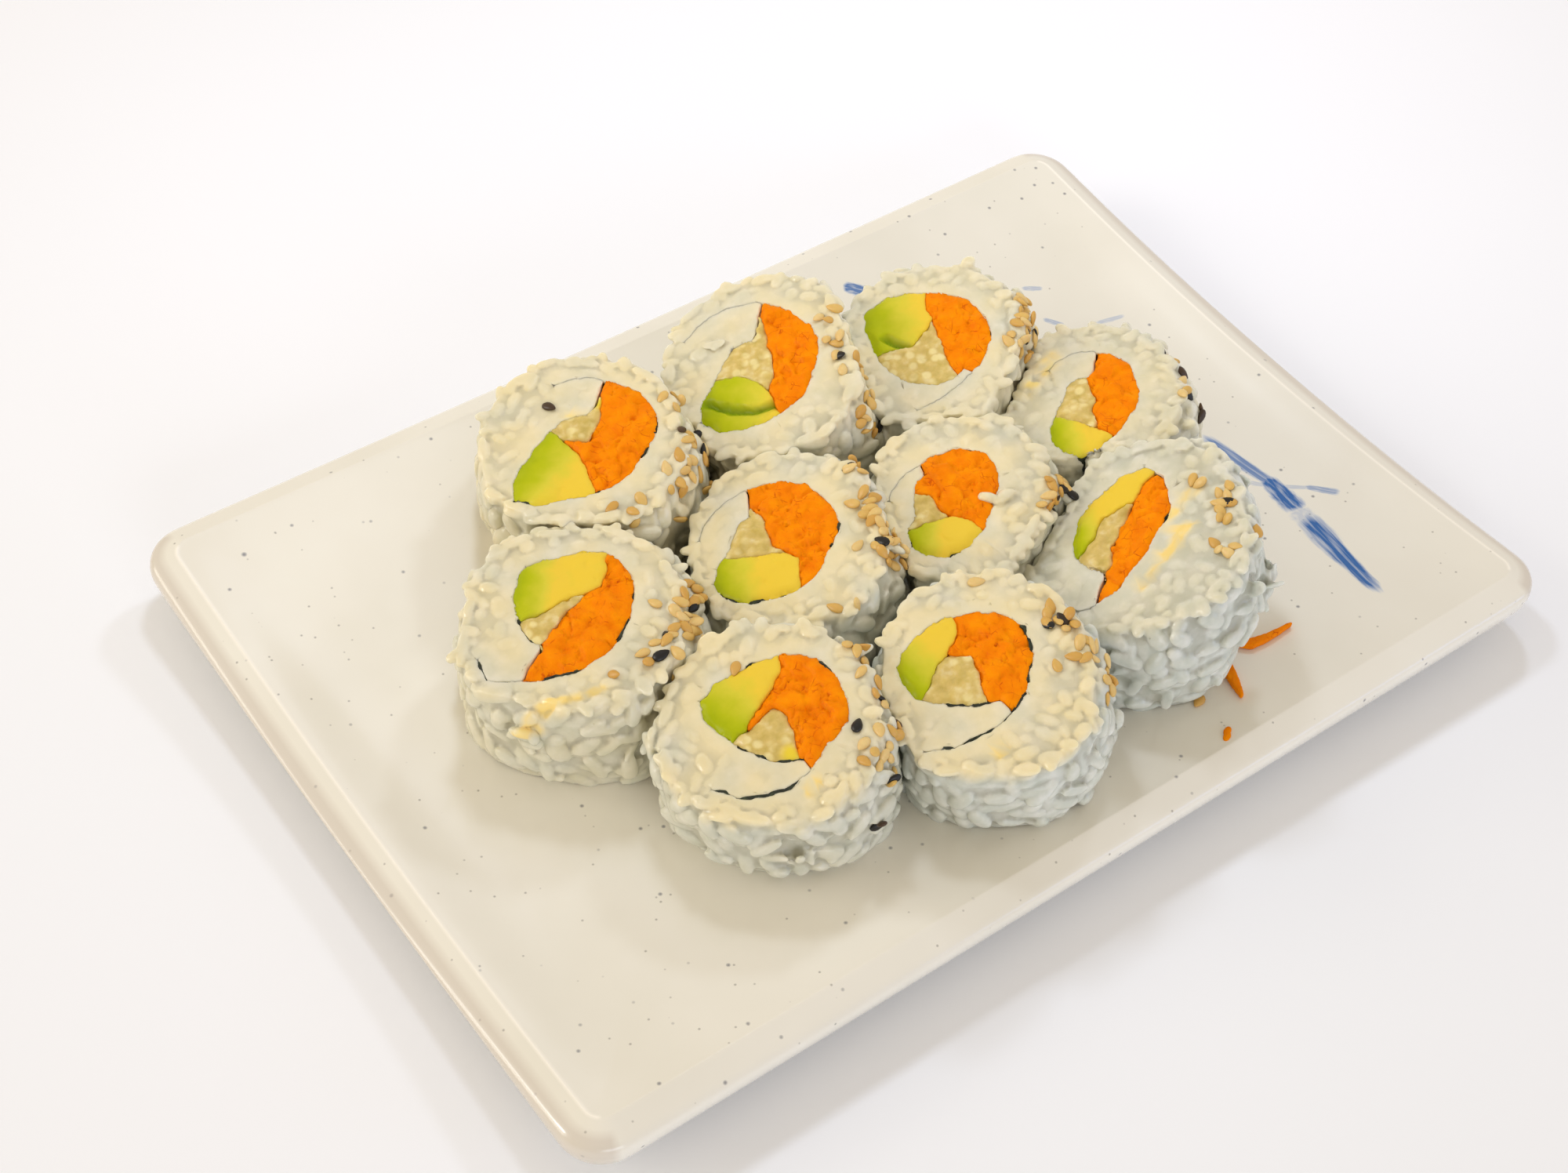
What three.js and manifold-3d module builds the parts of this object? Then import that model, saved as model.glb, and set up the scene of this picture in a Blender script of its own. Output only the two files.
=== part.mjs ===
// Ten pieces of vegetable roll on a rectangular stoneware plate.
// Millimetres, +Z up. The origin is under the middle of the plate, where it stands.
// Each piece is built of the layers its cut face shows: rice, nori, avocado, carrot, cucumber.

import * as THREE from 'three';
import { mergeVertices } from 'three/addons/utils/BufferGeometryUtils.js';
import Module from 'manifold-3d';

const wasm = await Module();
wasm.setup();

const degrees = Math.PI / 180;

// ---------- plate ----------
const plateLength = 230;
const plateWidth = 160;
const plateCorner = 9; // radius of the corners seen from above
const rimHeight = 15.5; // top of the rim at the raised corners
const crestInset = 5.5; // the rim's crest lies this far inside the outline
const longSideSag = 0.6; // how far the rim dips halfway along a long side
const troughAtEnd = 4.2; // how far it dips halfway along a short side
const troughAtMiddle = 6.2; // depth of the dish along its middle line
const endLip = 13; // width over which the dish rises to its ends
const wallHeight = 9.5; // from the crest down to the lower edge
const footInset = 36;
const footWidth = 5;
const recessHeight = 2.5;
const underside = 3.2; // height of the underside just outside the foot

// ---------- pieces of roll ----------
const restGap = 0.4; // free space between the food and the curved dish
const layerGap = 0.3; // free space between one layer and the next
const contactGap = 0.4; // free space between two pieces that press together
const noriThickness = 0.6;
const outlineTurn = -35 * degrees; // direction of a piece's narrow axis
const outlinePower = 2.2; // 2 is an ellipse, more is squarer
const leastRice = 1.4; // the thinnest rice outside the nori
const nearAngle = 14 * degrees; // nori within this angle of a column sets its least radius
const cutEdge = 1.5; // rounding of the rice at the cut face
const pressedEdge = 3; // more rounding on the side where the knife came in
const seedSide = -20 * degrees; // that side, which also carries the sesame
const columns = 28; // faces around a piece, one for each grain's length
const spiralStep = 30 * degrees; // angle between two radii of a nori spiral
const samplesPerStep = 2;
const spiralGap = 2.2 * degrees; // the free space before the spiral's inner end
const slitExtra = 0.1; // the slit in the rice runs on past the nori by this share of a sample

// Rings of a piece from its base up: share of the height, how far the ring is drawn in as a share
// of the lower or the upper rounding, and how much the grains stand out.
const baseEdge = 1.8;
const rings = [
  { share: 0, base: 1, top: 0, grain: 0.3 },
  { share: 0.18, base: 0.1, top: 0, grain: 1 },
  { share: 0.52, base: 0, top: 0, grain: 1 },
  { share: 0.84, base: 0, top: 0.3, grain: 0.8 },
  { share: 1, base: 0, top: 1, grain: 0.25 },
];
const grainBump = 0.75;
const footShare = 0.5; // a piece with a narrow foot is full width from here up

const seedLength = 3.5;
const seedWidth = 2.1;
const seedDepth = 1.3;
const seedsOnPiece = 7;
const seedBand = [0.62, 0.96]; // share of the height where seeds lie
const seedSpread = [-60 * degrees, 70 * degrees]; // angle from the seed side
const seedTilt = [80, 35]; // degrees from flat, on the flank and at the cut face
const seedRoom = 2.4; // free space between a seed's middle and another piece
const seedTries = 60;

const finishes = {
  stoneware: { color: 0xece4d0, roughness: 0.25, metalness: 0 },
  rice: { color: 0xe4e3d6, roughness: 0.45, metalness: 0 },
  nori: { color: 0x26301f, roughness: 0.6, metalness: 0 },
  avocado: { color: 0xd3dc4a, roughness: 0.4, metalness: 0 },
  carrot: { color: 0xff8a0a, roughness: 0.45, metalness: 0 },
  cucumber: { color: 0xdfdba6, roughness: 0.3, metalness: 0 },
};

// Each piece has the place where it stands, half its narrow and half its long width, its height, and
// how far its top shifts for each millimetre of height. The piece that leans on the others also has
// the tilt of its cut face, the tilt of its lifted base, and how much narrower its foot is.
// Then come the middle of the filling and the nori spiral round it. The spiral starts at the angle
// `from`, turns to the left (1) or to the right (-1), has one radius for every 30 degrees, and goes
// on for `lap` degrees past one turn, where it has the two `end` radii.
// Last are the point where the three fillings meet and the lines between them, from there outwards.
// Each line is led by the filling that lies to the left of it.
const pieces = [
  {
    name: 'back_left', at: [-33.8, 40.2], half: [22.4, 23.3], height: 23, lean: [-0.1, 0.02],
    middle: [-3, -1], from: 43, turn: 1, lap: 30, end: [18.3, 17.5],
    radii: [8.5, 8, 7, 7.5, 10.5, 17.2, 13.5, 12, 12.5, 12.5, 16, 18, 18],
    meet: [-4.5, 2.5],
    lines: [
      ['carrot', [-3.5, -3], [-5, -8], [-7, -14]],
      ['cucumber', [-1, -1], [4, 2], [7.5, 7], [10, 12]],
      ['avocado', [-5, 6], [-6, 11]],
    ],
  },
  {
    name: 'back', at: [11.4, 37.6], half: [21.9, 24.5], height: 23.2, lean: [-0.26, 0.06],
    middle: [-4, 1], from: 48, turn: 1, lap: 60, end: [17.3, 16],
    radii: [7.5, 7, 5.5, 5.5, 8, 15, 15, 13.5, 13.5, 13, 15, 16, 17.3],
    meet: [-4, -6],
    lines: [
      ['carrot', [-5, -9], [-7, -15]],
      ['cucumber', [-1, -3.5], [2, 2], [5, 8], [8, 16]],
      ['avocado', [-5, -1.5], [-6.5, 1], [-10, 3], [-16, 4]],
    ],
  },
  {
    name: 'back_right', at: [43.5, 24.7], half: [21.2, 23.6], height: 23, lean: [-0.2, 0.06],
    middle: [0, 3], from: -93, turn: -1, lap: 42, end: [16.5, 20.5],
    radii: [12.3, 14, 13, 12, 12, 14.5, 13, 11, 11, 11.5, 12, 12.7, 14.4],
    meet: [2.5, 5.5],
    lines: [
      ['carrot', [0, -1], [-2, -6], [-4, -14]],
      ['avocado', [3.5, 8], [7, 15]],
      ['cucumber', [-1, 3.5], [-5, 2.5], [-9, 4.5], [-15, 6]],
    ],
  },
  {
    name: 'right_back', at: [61, -5.1], half: [20.6, 21.6], height: 23, lean: [-0.19, 0.17],
    middle: [-3, -2], from: 45, turn: 1, lap: 42, end: [14.5, 12.5],
    radii: [7.5, 7, 5, 5, 7, 12, 14.5, 11, 9.5, 10, 11, 13.5, 15],
    meet: [-6, -9],
    lines: [
      ['carrot', [-5.8, -12], [-6.3, -16]],
      ['cucumber', [-4, -4.5], [-1, -2], [0.5, 2], [4, 5], [9, 11]],
      ['avocado', [-8, -5], [-9, -2], [-12, 3]],
    ],
  },
  {
    name: 'middle_left', at: [-12, -2], half: [20.7, 23.1], height: 23, lean: [-0.2, 0.1],
    middle: [-6, 2], from: 68, turn: 1, lap: 64, end: [12.8, 12],
    radii: [8, 6.5, 5.5, 6.5, 12, 13.5, 13, 13.5, 13, 15, 16, 16, 14.5],
    meet: [-3, -3.5],
    lines: [
      ['carrot', [-2.5, -6], [-5, -9], [-9, -14]],
      ['cucumber', [-4, 1], [-2, 6], [-1.5, 10], [-3, 16]],
      ['avocado', [-9, 1], [-13, 4], [-18, 8]],
    ],
  },
  {
    name: 'middle', at: [21.5, -10.7], half: [20, 23.2], height: 23, lean: [-0.14, 0.04],
    middle: [-5, 1], from: 80, turn: 1, lap: 58, end: [10.8, 10.7],
    radii: [8.5, 7, 6, 7, 12.5, 13, 11, 9, 9, 11.5, 14.5, 13.5, 11],
    meet: [-6, -2],
    lines: [
      ['carrot', [-4, -5.5], [-4.5, -9], [-6, -14]],
      ['cucumber', [-7, 1], [-6, 4], [-8, 7.5], [-12, 12]],
      ['avocado', [-10, -1], [-14, -0.5], [-21, 1]],
    ],
  },
  {
    name: 'right', at: [36.5, -43], half: [22.3, 26], height: 25, lean: [0.02, 0.25],
    tilt: [0.36, -0.33], lift: [0.7, 0.1], foot: 0.82,
    middle: [-3, 2], from: -147, turn: -1, lap: 22, end: [18, 17],
    radii: [9, 8.5, 8, 8, 9.5, 12, 17.2, 12.5, 8.5, 7, 7.5, 10, 17.8],
    meet: [4, 6],
    lines: [
      ['carrot', [-1, 3], [-6, 0.5], [-8, -2.5], [-13, -5.5], [-22, -9]],
      ['avocado', [10, 8.3], [17, 11.5]],
      ['cucumber', [-2, 7.5], [-6, 5], [-10, 3.5], [-17, 3]],
    ],
  },
  {
    name: 'front_left', at: [-59.1, 5.1], half: [22.9, 23.6], height: 23.2, lean: [-0.06, 0.04],
    middle: [-2, 2], from: -150, turn: -1, lap: 30, end: [20.6, 18.5],
    radii: [9, 8.5, 8.5, 10, 13, 12.5, 15.5, 14.5, 12.5, 12, 13, 15, 18],
    meet: [3.5, 2.7],
    lines: [
      ['carrot', [-2, 1], [-6, -0.5], [-10, -4], [-15, -5], [-22, -7.5]],
      ['avocado', [7, 3], [10, 6], [13, 14]],
      ['cucumber', [-1, 3.7], [-5, 3.5], [-13, 4.6]],
    ],
  },
  {
    name: 'front', at: [-41.3, -33.6], half: [22.3, 22.4], height: 22.8, lean: [-0.18, 0],
    middle: [2, 0], from: -108, turn: -1, lap: 58, end: [17.2, 19.3],
    radii: [10.5, 10, 10, 12, 15.2, 12.5, 11.5, 12.5, 11.5, 11, 11.5, 10.5, 13],
    meet: [-5.5, 1],
    lines: [
      ['carrot', [-3, 1], [1, 2], [2, -0.5], [1, -4], [-1, -8], [-4.5, -15]],
      ['avocado', [-2, 3], [2, 5], [6, 7], [11, 13]],
      ['cucumber', [-11, 0]],
    ],
  },
  {
    name: 'front_right', at: [-3, -47.4], half: [21.6, 23.7], height: 23, lean: [-0.16, 0.02],
    middle: [-2, 2], from: -98, turn: -1, lap: 58, end: [15, 20],
    radii: [8, 8, 9, 12.5, 14.5, 13, 12.5, 12, 12.5, 11, 9.5, 10, 11.5],
    meet: [-4.5, 7.5],
    lines: [
      ['carrot', [-1.5, 4.5], [-2.5, 1], [-4.5, -3], [-5.5, -11]],
      ['avocado', [0, 10.5], [3.5, 17]],
      ['cucumber', [-8, 6.5], [-13, 3], [-19, 2]],
    ],
  },
];

const farOut = 60; // a distance that is outside any piece
const neighbourReach = 50; // pieces whose middles are closer than this can press together
const pressRounds = 4; // how often a column is drawn back behind its contact planes
const leastTowards = 0.15; // a column that faces a neighbour less than this isn't pressed by it

// Two shreds of carrot that fell on the plate: the line each follows and its width and thickness.
const shreds = [
  {
    name: 'carrot_shred_bent', width: 2.6, thickness: 1.3,
    path: [[52, -55], [51.5, -57.5], [55.5, -58.6], [62.5, -58.9]],
  },
  {
    name: 'carrot_shred_short', width: 2.4, thickness: 1.3,
    path: [[44.6, -59.3], [43, -63.2], [41.2, -67.4]],
  },
];
const shredSteps = 7;
const shredPoint = 0.75; // how much of its width a shred loses towards its far end

const model = new THREE.Group();

function smoothStep(value) {
  const t = THREE.MathUtils.clamp(value, 0, 1);
  return t * t * (3 - 2 * t);
}

// Pseudo-random numbers that are the same on every run.
function makeRandom(start) {
  let state = start;
  return () => {
    state = (state * 1664525 + 1013904223) % 4294967296;
    return state / 4294967296;
  };
}

function addMesh(parent, name, geometry, finish) {
  const mesh = new THREE.Mesh(geometry, new THREE.MeshStandardMaterial(finishes[finish]));
  mesh.name = name;
  parent.add(mesh);
}

// The geometry with shared corners, and without the empty triangles at the ends of an axis.
function bareGeometry(geometry) {
  const bare = geometry.clone();
  bare.deleteAttribute('normal');
  bare.deleteAttribute('uv');
  const merged = mergeVertices(bare, 1e-4);
  const corners = merged.index.array;
  const kept = [];
  for (let i = 0; i < corners.length; i += 3) {
    const [a, b, c] = [corners[i], corners[i + 1], corners[i + 2]];
    if (a !== b && b !== c && c !== a) kept.push(a, b, c);
  }
  merged.setIndex(kept);
  return merged;
}

function toSolid(geometry) {
  const bare = bareGeometry(geometry);
  return new wasm.Manifold(new wasm.Mesh({
    numProp: 3,
    vertProperties: new Float32Array(bare.attributes.position.array),
    triVerts: new Uint32Array(bare.index.array),
  }));
}

function toGeometry(solid) {
  const mesh = solid.getMesh();
  const geometry = new THREE.BufferGeometry();
  geometry.setAttribute('position', new THREE.BufferAttribute(mesh.vertProperties, 3));
  geometry.setIndex(new THREE.BufferAttribute(mesh.triVerts, 1));
  return geometry;
}

function moveVertices(geometry, place) {
  const position = geometry.attributes.position;
  const point = new THREE.Vector3();
  for (let i = 0; i < position.count; i += 1) {
    point.fromBufferAttribute(position, i);
    place(point);
    position.setXYZ(i, point.x, point.y, point.z);
  }
}

// ---------- the dish ----------
// Height of the plate's upper face: a shallow trough along its length, with raised corners.
function dishHeight(x, y) {
  const along = Math.min(Math.abs(x) / (plateLength / 2 - crestInset), 1);
  const across = Math.min(Math.abs(y) / (plateWidth / 2 - crestInset), 1);
  const fromEnd = (plateLength / 2 - crestInset - Math.abs(x)) / endLip;
  const trough = THREE.MathUtils.lerp(troughAtEnd, troughAtMiddle, smoothStep(fromEnd));
  return rimHeight - longSideSag * (1 - along ** 2) - trough * (1 - across ** 2);
}

// A point of the rounded rectangle that lies `inset` inside the plate's outline.
function plateOutline(step, steps, inset) {
  const perQuarter = steps / 4;
  const quarter = Math.floor(step / perQuarter) % 4;
  const local = step % perQuarter;
  const cornerSteps = 4;
  const sideSteps = (perQuarter - cornerSteps) / 2;
  const radius = Math.max(plateCorner - inset, 0.5);
  const halfX = plateLength / 2 - inset;
  const halfY = plateWidth / 2 - inset;
  const cornerX = halfX - radius;
  const cornerY = halfY - radius;
  const sign = [[1, 1], [-1, 1], [-1, -1], [1, -1]][quarter];
  const forward = quarter % 2 === 0;
  const place = forward ? local : perQuarter - local;
  let x;
  let y;
  if (place < sideSteps) {
    x = halfX;
    y = cornerY * (place / sideSteps);
  } else if (place <= sideSteps + cornerSteps) {
    const angle = ((place - sideSteps) / cornerSteps) * 90 * degrees;
    x = cornerX + radius * Math.cos(angle);
    y = cornerY + radius * Math.sin(angle);
  } else {
    x = cornerX * ((perQuarter - place) / sideSteps);
    y = halfY;
  }
  return [x * sign[0], y * sign[1]];
}

function makePlate() {
  const steps = 40;
  const wallFoot = rimHeight - wallHeight;
  // Section from the middle of the underside, round the rim, to the middle of the dish:
  // the inset from the outline, and the height at a point whose crest is as high as `crest`.
  const section = [
    { middle: true, height: () => recessHeight },
    { inset: footInset + footWidth + 1, height: () => recessHeight },
    { inset: footInset + footWidth, height: () => 0 },
    { inset: footInset, height: () => 0 },
    { inset: footInset - 2, height: () => underside },
    { inset: 5, height: () => wallFoot - 0.6 },
    { inset: 1.6, height: () => wallFoot + 0.8 },
    { inset: 0, height: (crest) => THREE.MathUtils.lerp(wallFoot, crest, 0.5) },
    { inset: 1.6, height: (crest) => crest - 1.6 },
    { inset: 3.4, height: (crest) => crest - 0.45 },
    { inset: crestInset, height: (crest) => crest },
    { inset: crestInset + 4, dish: true },
    { inset: crestInset + endLip, dish: true },
    { inset: 36, dish: true },
    { inset: 58, dish: true },
    { middle: true, dish: true },
  ];
  const profile = section.map((ring, i) => new THREE.Vector2(ring.middle ? 0 : 1, i));
  const plate = new THREE.LatheGeometry(profile, steps);
  const position = plate.attributes.position;
  for (let step = 0; step <= steps; step += 1) {
    section.forEach((ring, i) => {
      const [x, y] = ring.middle ? [0, 0] : plateOutline(step % steps, steps, ring.inset);
      const [crestX, crestY] = plateOutline(step % steps, steps, crestInset);
      const height = ring.dish ? dishHeight(x, y) : ring.height(dishHeight(crestX, crestY));
      position.setXYZ(step * section.length + i, x, y, height);
    });
  }
  return bareGeometry(plate);
}

// ---------- one piece of roll ----------
// Half a piece's width in the direction of an angle, before any neighbour presses on it.
function freeRadius(piece, angle) {
  const across = Math.abs(Math.cos(angle - outlineTurn)) / piece.half[0];
  const deep = Math.abs(Math.sin(angle - outlineTurn)) / piece.half[1];
  return (across ** outlinePower + deep ** outlinePower) ** (-1 / outlinePower);
}

// Turns a place in an upright piece into its place on the plate: the base follows the dish or is
// lifted off it, the cut face is flat and tilted, and the piece leans.
function settle(piece, point) {
  const share = point.z / piece.height;
  const x = point.x + piece.lean[0] * point.z;
  const y = point.y + piece.lean[1] * point.z;
  const dish = dishHeight(piece.at[0] + x, piece.at[1] + y) + restGap - piece.floor;
  const base = Math.max(dish, piece.lift[0] * point.x + piece.lift[1] * point.y);
  const cutFace = piece.height + piece.tilt[0] * point.x + piece.tilt[1] * point.y;
  point.set(x, y, THREE.MathUtils.lerp(base, cutFace, share));
}

// The planes where a piece presses against its neighbours.
function contactPlanes(piece) {
  const planes = [];
  for (const other of pieces) {
    const away = new THREE.Vector2(other.at[0] - piece.at[0], other.at[1] - piece.at[1]);
    const distance = away.length();
    if (other === piece || distance > neighbourReach) continue;
    const angle = away.angle();
    const mine = freeRadius(piece, angle);
    const theirs = freeRadius(other, angle + Math.PI);
    const normal = away.normalize();
    const lean = [(piece.lean[0] + other.lean[0]) / 2, (piece.lean[1] + other.lean[1]) / 2];
    planes.push({
      normal,
      offset: (distance * mine) / (mine + theirs) - contactGap / 2,
      slope: normal.x * lean[0] + normal.y * lean[1],
    });
  }
  return planes;
}

function overshoot(plane, piece, point) {
  const height = point.z + piece.floor - rimHeight + troughAtMiddle;
  return plane.normal.x * point.x + plane.normal.y * point.y - plane.offset - plane.slope * height;
}

// Points along a piece's nori spiral, as [x, y], from its inner end to its outer end.
function noriLine(piece) {
  const sweep = piece.radii.map((radius, i) => [i * spiralStep, radius]);
  const turnAngle = (piece.radii.length - 1) * spiralStep;
  sweep.push([turnAngle + (piece.lap / 2) * degrees, piece.end[0]]);
  sweep.push([turnAngle + piece.lap * degrees, piece.end[1]]);
  const knots = sweep.map(([angle, radius]) => new THREE.Vector3(angle, radius, 0));
  const curve = new THREE.CatmullRomCurve3(knots, false, 'catmullrom', 0.5);
  const samples = (knots.length - 1) * samplesPerStep;
  const line = [];
  for (let i = 0; i <= samples; i += 1) {
    const knot = curve.getPoint(i / samples);
    line.push({ sweep: knot.x, radius: knot.y });
  }
  return line;
}

function pointBetween(before, after, sweep) {
  const share = (sweep - before.sweep) / (after.sweep - before.sweep);
  return { sweep, radius: THREE.MathUtils.lerp(before.radius, after.radius, share) };
}

function spiralPoint(piece, sweep, radius) {
  const angle = piece.from * degrees + piece.turn * sweep;
  return new THREE.Vector2(
    piece.middle[0] + radius * Math.cos(angle),
    piece.middle[1] + radius * Math.sin(angle),
  );
}

// The nori line moved sideways; a positive distance moves it outwards.
function movedLine(piece, line, distance) {
  return line.map((here, i) => {
    const before = line[Math.max(i - 1, 0)];
    const after = line[Math.min(i + 1, line.length - 1)];
    const tangent = spiralPoint(piece, after.sweep, after.radius)
      .sub(spiralPoint(piece, before.sweep, before.radius)).normalize();
    const out = new THREE.Vector2(tangent.y, -tangent.x).multiplyScalar(piece.turn * distance);
    return spiralPoint(piece, here.sweep, here.radius).add(out);
  });
}

function prism(points, height, below = 0, above = 0) {
  const shape = new THREE.Shape(points);
  const geometry = new THREE.ExtrudeGeometry(shape, {
    depth: height + below + above, steps: 1, bevelEnabled: false,
  });
  geometry.translate(0, 0, -below);
  return geometry;
}

// Moves every corner of a closed outline inwards by the same distance.
const leastMiter = 0.4; // keeps a sharp corner from shooting far out
function insetOutline(points, distance) {
  const inwards = THREE.ShapeUtils.isClockWise(points) ? -1 : 1;
  return points.map((point, i) => {
    const before = points[(i + points.length - 1) % points.length];
    const after = points[(i + 1) % points.length];
    const first = point.clone().sub(before).normalize();
    const second = after.clone().sub(point).normalize();
    const bisector = new THREE.Vector2(-first.y - second.y, first.x + second.x).normalize();
    const miter = Math.max(bisector.dot(new THREE.Vector2(-first.y, first.x)), leastMiter);
    return point.clone().addScaledVector(bisector, (inwards * distance) / miter);
  });
}

// The part of the plane between two of the lines that divide a filling.
function fillingSector(piece, index) {
  const line = piece.lines[index].slice(1).map(([x, y]) => new THREE.Vector2(x, y));
  const next = piece.lines[(index + 1) % piece.lines.length].slice(1)
    .map(([x, y]) => new THREE.Vector2(x, y));
  const meet = new THREE.Vector2(...piece.meet);
  const start = line.at(-1).clone().sub(meet).angle();
  let stop = next.at(-1).clone().sub(meet).angle();
  if (stop < start) stop += 2 * Math.PI;
  const far = [0, 1 / 3, 2 / 3, 1].map((share) => {
    const angle = THREE.MathUtils.lerp(start, stop, share);
    return new THREE.Vector2(farOut, 0).rotateAround(new THREE.Vector2(), angle).add(meet);
  });
  return [meet, ...line, ...far, ...next.reverse()];
}

function placeLayer(piece, group, name, geometry, finish) {
  moveVertices(geometry, (point) => settle(piece, point));
  addMesh(group, `${piece.name}_${name}`, geometry, finish);
}

// The outside of the rice: rings of bumps as large as grains, pressed flat against neighbours.
function riceBody(piece, line, random) {
  const planes = contactPlanes(piece);
  const outside = movedLine(piece, line, noriThickness / 2 + layerGap + leastRice);
  const profile = [new THREE.Vector2(0, 0), ...rings.map((ring) => new THREE.Vector2(1, ring.share)),
    new THREE.Vector2(0, 1)];
  const body = new THREE.LatheGeometry(profile, columns);
  const position = body.attributes.position;
  const bumps = rings.map(() => Array.from({ length: columns }, () => random() * 2 - 1));
  for (let column = 0; column <= columns; column += 1) {
    const angle = ((column % columns) / columns) * 2 * Math.PI;
    const direction = new THREE.Vector2(Math.cos(angle), Math.sin(angle));
    const first = column * profile.length;
    position.setXYZ(first, 0, 0, 0);
    position.setXYZ(first + profile.length - 1, 0, 0, piece.height);
    const needed = Math.max(...outside.map((point) => {
      const turn = Math.abs(Math.atan2(direction.cross(point), direction.dot(point)));
      return turn < nearAngle ? point.length() : 0;
    }));
    const facing = Math.max(Math.cos(angle - seedSide), 0) ** 1.5;
    rings.forEach((ring, level) => {
      const edge = ring.base * baseEdge + ring.top * (cutEdge + pressedEdge * facing);
      const bump = bumps[level][column % columns] * grainBump * ring.grain;
      const narrowing = THREE.MathUtils.lerp(piece.foot, 1, Math.min(ring.share / footShare, 1));
      let radius = Math.max(freeRadius(piece, angle) * narrowing - edge + bump, needed);
      for (let round = 0; round < pressRounds; round += 1) {
        for (const plane of planes) {
          const towards = plane.normal.dot(direction);
          const point = new THREE.Vector3(direction.x * radius, direction.y * radius,
            ring.share * piece.height);
          settle(piece, point);
          const past = overshoot(plane, piece, point);
          if (past > 0 && towards > leastTowards) radius -= past / towards;
        }
      }
      position.setXYZ(first + 1 + level, direction.x * radius, direction.y * radius,
        ring.share * piece.height);
    });
  }
  return body;
}

// Sesame seeds lie flat on the rounded shoulder of the rice.
function seedGeometry(piece, angle, share, radius, random) {
  const seed = new THREE.SphereGeometry(0.5, 5, 4);
  seed.scale(seedLength, seedWidth, seedDepth);
  const tilt = THREE.MathUtils.lerp(...seedTilt, THREE.MathUtils.smoothstep(share, 0.7, 1));
  seed.rotateZ(random() * Math.PI);
  seed.rotateY(tilt * degrees);
  seed.rotateZ(angle);
  seed.translate(radius * Math.cos(angle), radius * Math.sin(angle), share * piece.height);
  moveVertices(seed, (point) => settle(piece, point));
  return seed;
}

// True where a point of one piece, given from the middle of its base, is clear of the others.
function clearOfOthers(piece, point, room) {
  return pieces.every((other) => {
    if (other === piece) return true;
    const z = point.z + piece.floor - other.floor;
    const x = point.x + piece.at[0] - other.at[0] - other.lean[0] * z;
    const y = point.y + piece.at[1] - other.at[1] - other.lean[1] * z;
    const top = other.height + other.tilt[0] * x + other.tilt[1] * y;
    return z > top + room || Math.hypot(x, y) > freeRadius(other, Math.atan2(y, x)) + room;
  });
}

function radiusAt(body, piece, angle, share) {
  const ray = new THREE.Raycaster(
    new THREE.Vector3(farOut * Math.cos(angle), farOut * Math.sin(angle), share * piece.height),
    new THREE.Vector3(-Math.cos(angle), -Math.sin(angle), 0),
  );
  const hits = ray.intersectObject(new THREE.Mesh(body, new THREE.MeshBasicMaterial()));
  return farOut - hits[0].distance;
}

function makePiece(piece, number) {
  const random = makeRandom(number * 7919 + 17);
  const group = new THREE.Group();
  group.position.set(piece.at[0], piece.at[1], piece.floor);
  const line = noriLine(piece);
  const wide = noriThickness / 2 + layerGap;
  const turnEnd = (piece.radii.length - 1) * spiralStep;

  // nori: a thin band along the spiral
  const half = noriThickness / 2;
  const band = [...movedLine(piece, line, half), ...movedLine(piece, line, -half).reverse()];
  placeLayer(piece, group, 'nori', prism(band, piece.height), 'nori');

  // the space inside the first turn holds the fillings
  const firstTurn = line.filter((here) => here.sweep < turnEnd - 3 * spiralGap);
  const lastPoint = pointBetween(firstTurn.at(-1), line[firstTurn.length], turnEnd - 2 * spiralGap);
  const startPoint = { sweep: -2 * spiralGap, radius: line[0].radius };
  const inside = movedLine(piece, [startPoint, ...firstTurn, lastPoint], -wide);
  const space = toSolid(prism(inside, piece.height));
  piece.lines.forEach(([filling], index) => {
    const sector = insetOutline(fillingSector(piece, index), layerGap / 2);
    const layer = space.intersect(toSolid(prism(sector, piece.height, 1, 1)));
    placeLayer(piece, group, filling, toGeometry(layer), filling);
  });

  // rice: the body less the space for fillings and nori, whose slit follows the spiral's end
  const [prior, tail] = line.slice(-2);
  const beyond = {
    sweep: tail.sweep + (tail.sweep - prior.sweep) * slitExtra,
    radius: tail.radius + (tail.radius - prior.radius) * slitExtra,
  };
  const longLine = [{ sweep: -spiralGap, radius: line[0].radius }, ...line, beyond];
  const lap = longLine.filter((here) => here.sweep > turnEnd - 0.01);
  const step = pointBetween(firstTurn.at(-1), line[firstTurn.length], turnEnd - spiralGap);
  const hole = [
    ...movedLine(piece, longLine, wide),
    ...movedLine(piece, [step, ...lap], -wide).reverse(),
  ];
  const body = riceBody(piece, line, random);
  let rice = toSolid(body).subtract(toSolid(prism(hole, piece.height, 1, 1)));
  const settled = toGeometry(rice);
  moveVertices(settled, (point) => settle(piece, point));
  rice = toSolid(settled);
  let placed = 0;
  for (let attempt = 0; attempt < seedTries && placed < seedsOnPiece; attempt += 1) {
    const angle = seedSide + THREE.MathUtils.lerp(...seedSpread, random());
    const share = THREE.MathUtils.lerp(...seedBand, random());
    const radius = radiusAt(body, piece, angle, share);
    const middle = new THREE.Vector3(radius * Math.cos(angle), radius * Math.sin(angle),
      share * piece.height);
    settle(piece, middle);
    if (!clearOfOthers(piece, middle, seedRoom)) continue;
    rice = rice.add(toSolid(seedGeometry(piece, angle, share, radius, random)));
    placed += 1;
  }
  addMesh(group, `${piece.name}_rice`, toGeometry(rice), 'rice');
  model.add(group);
}

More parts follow.
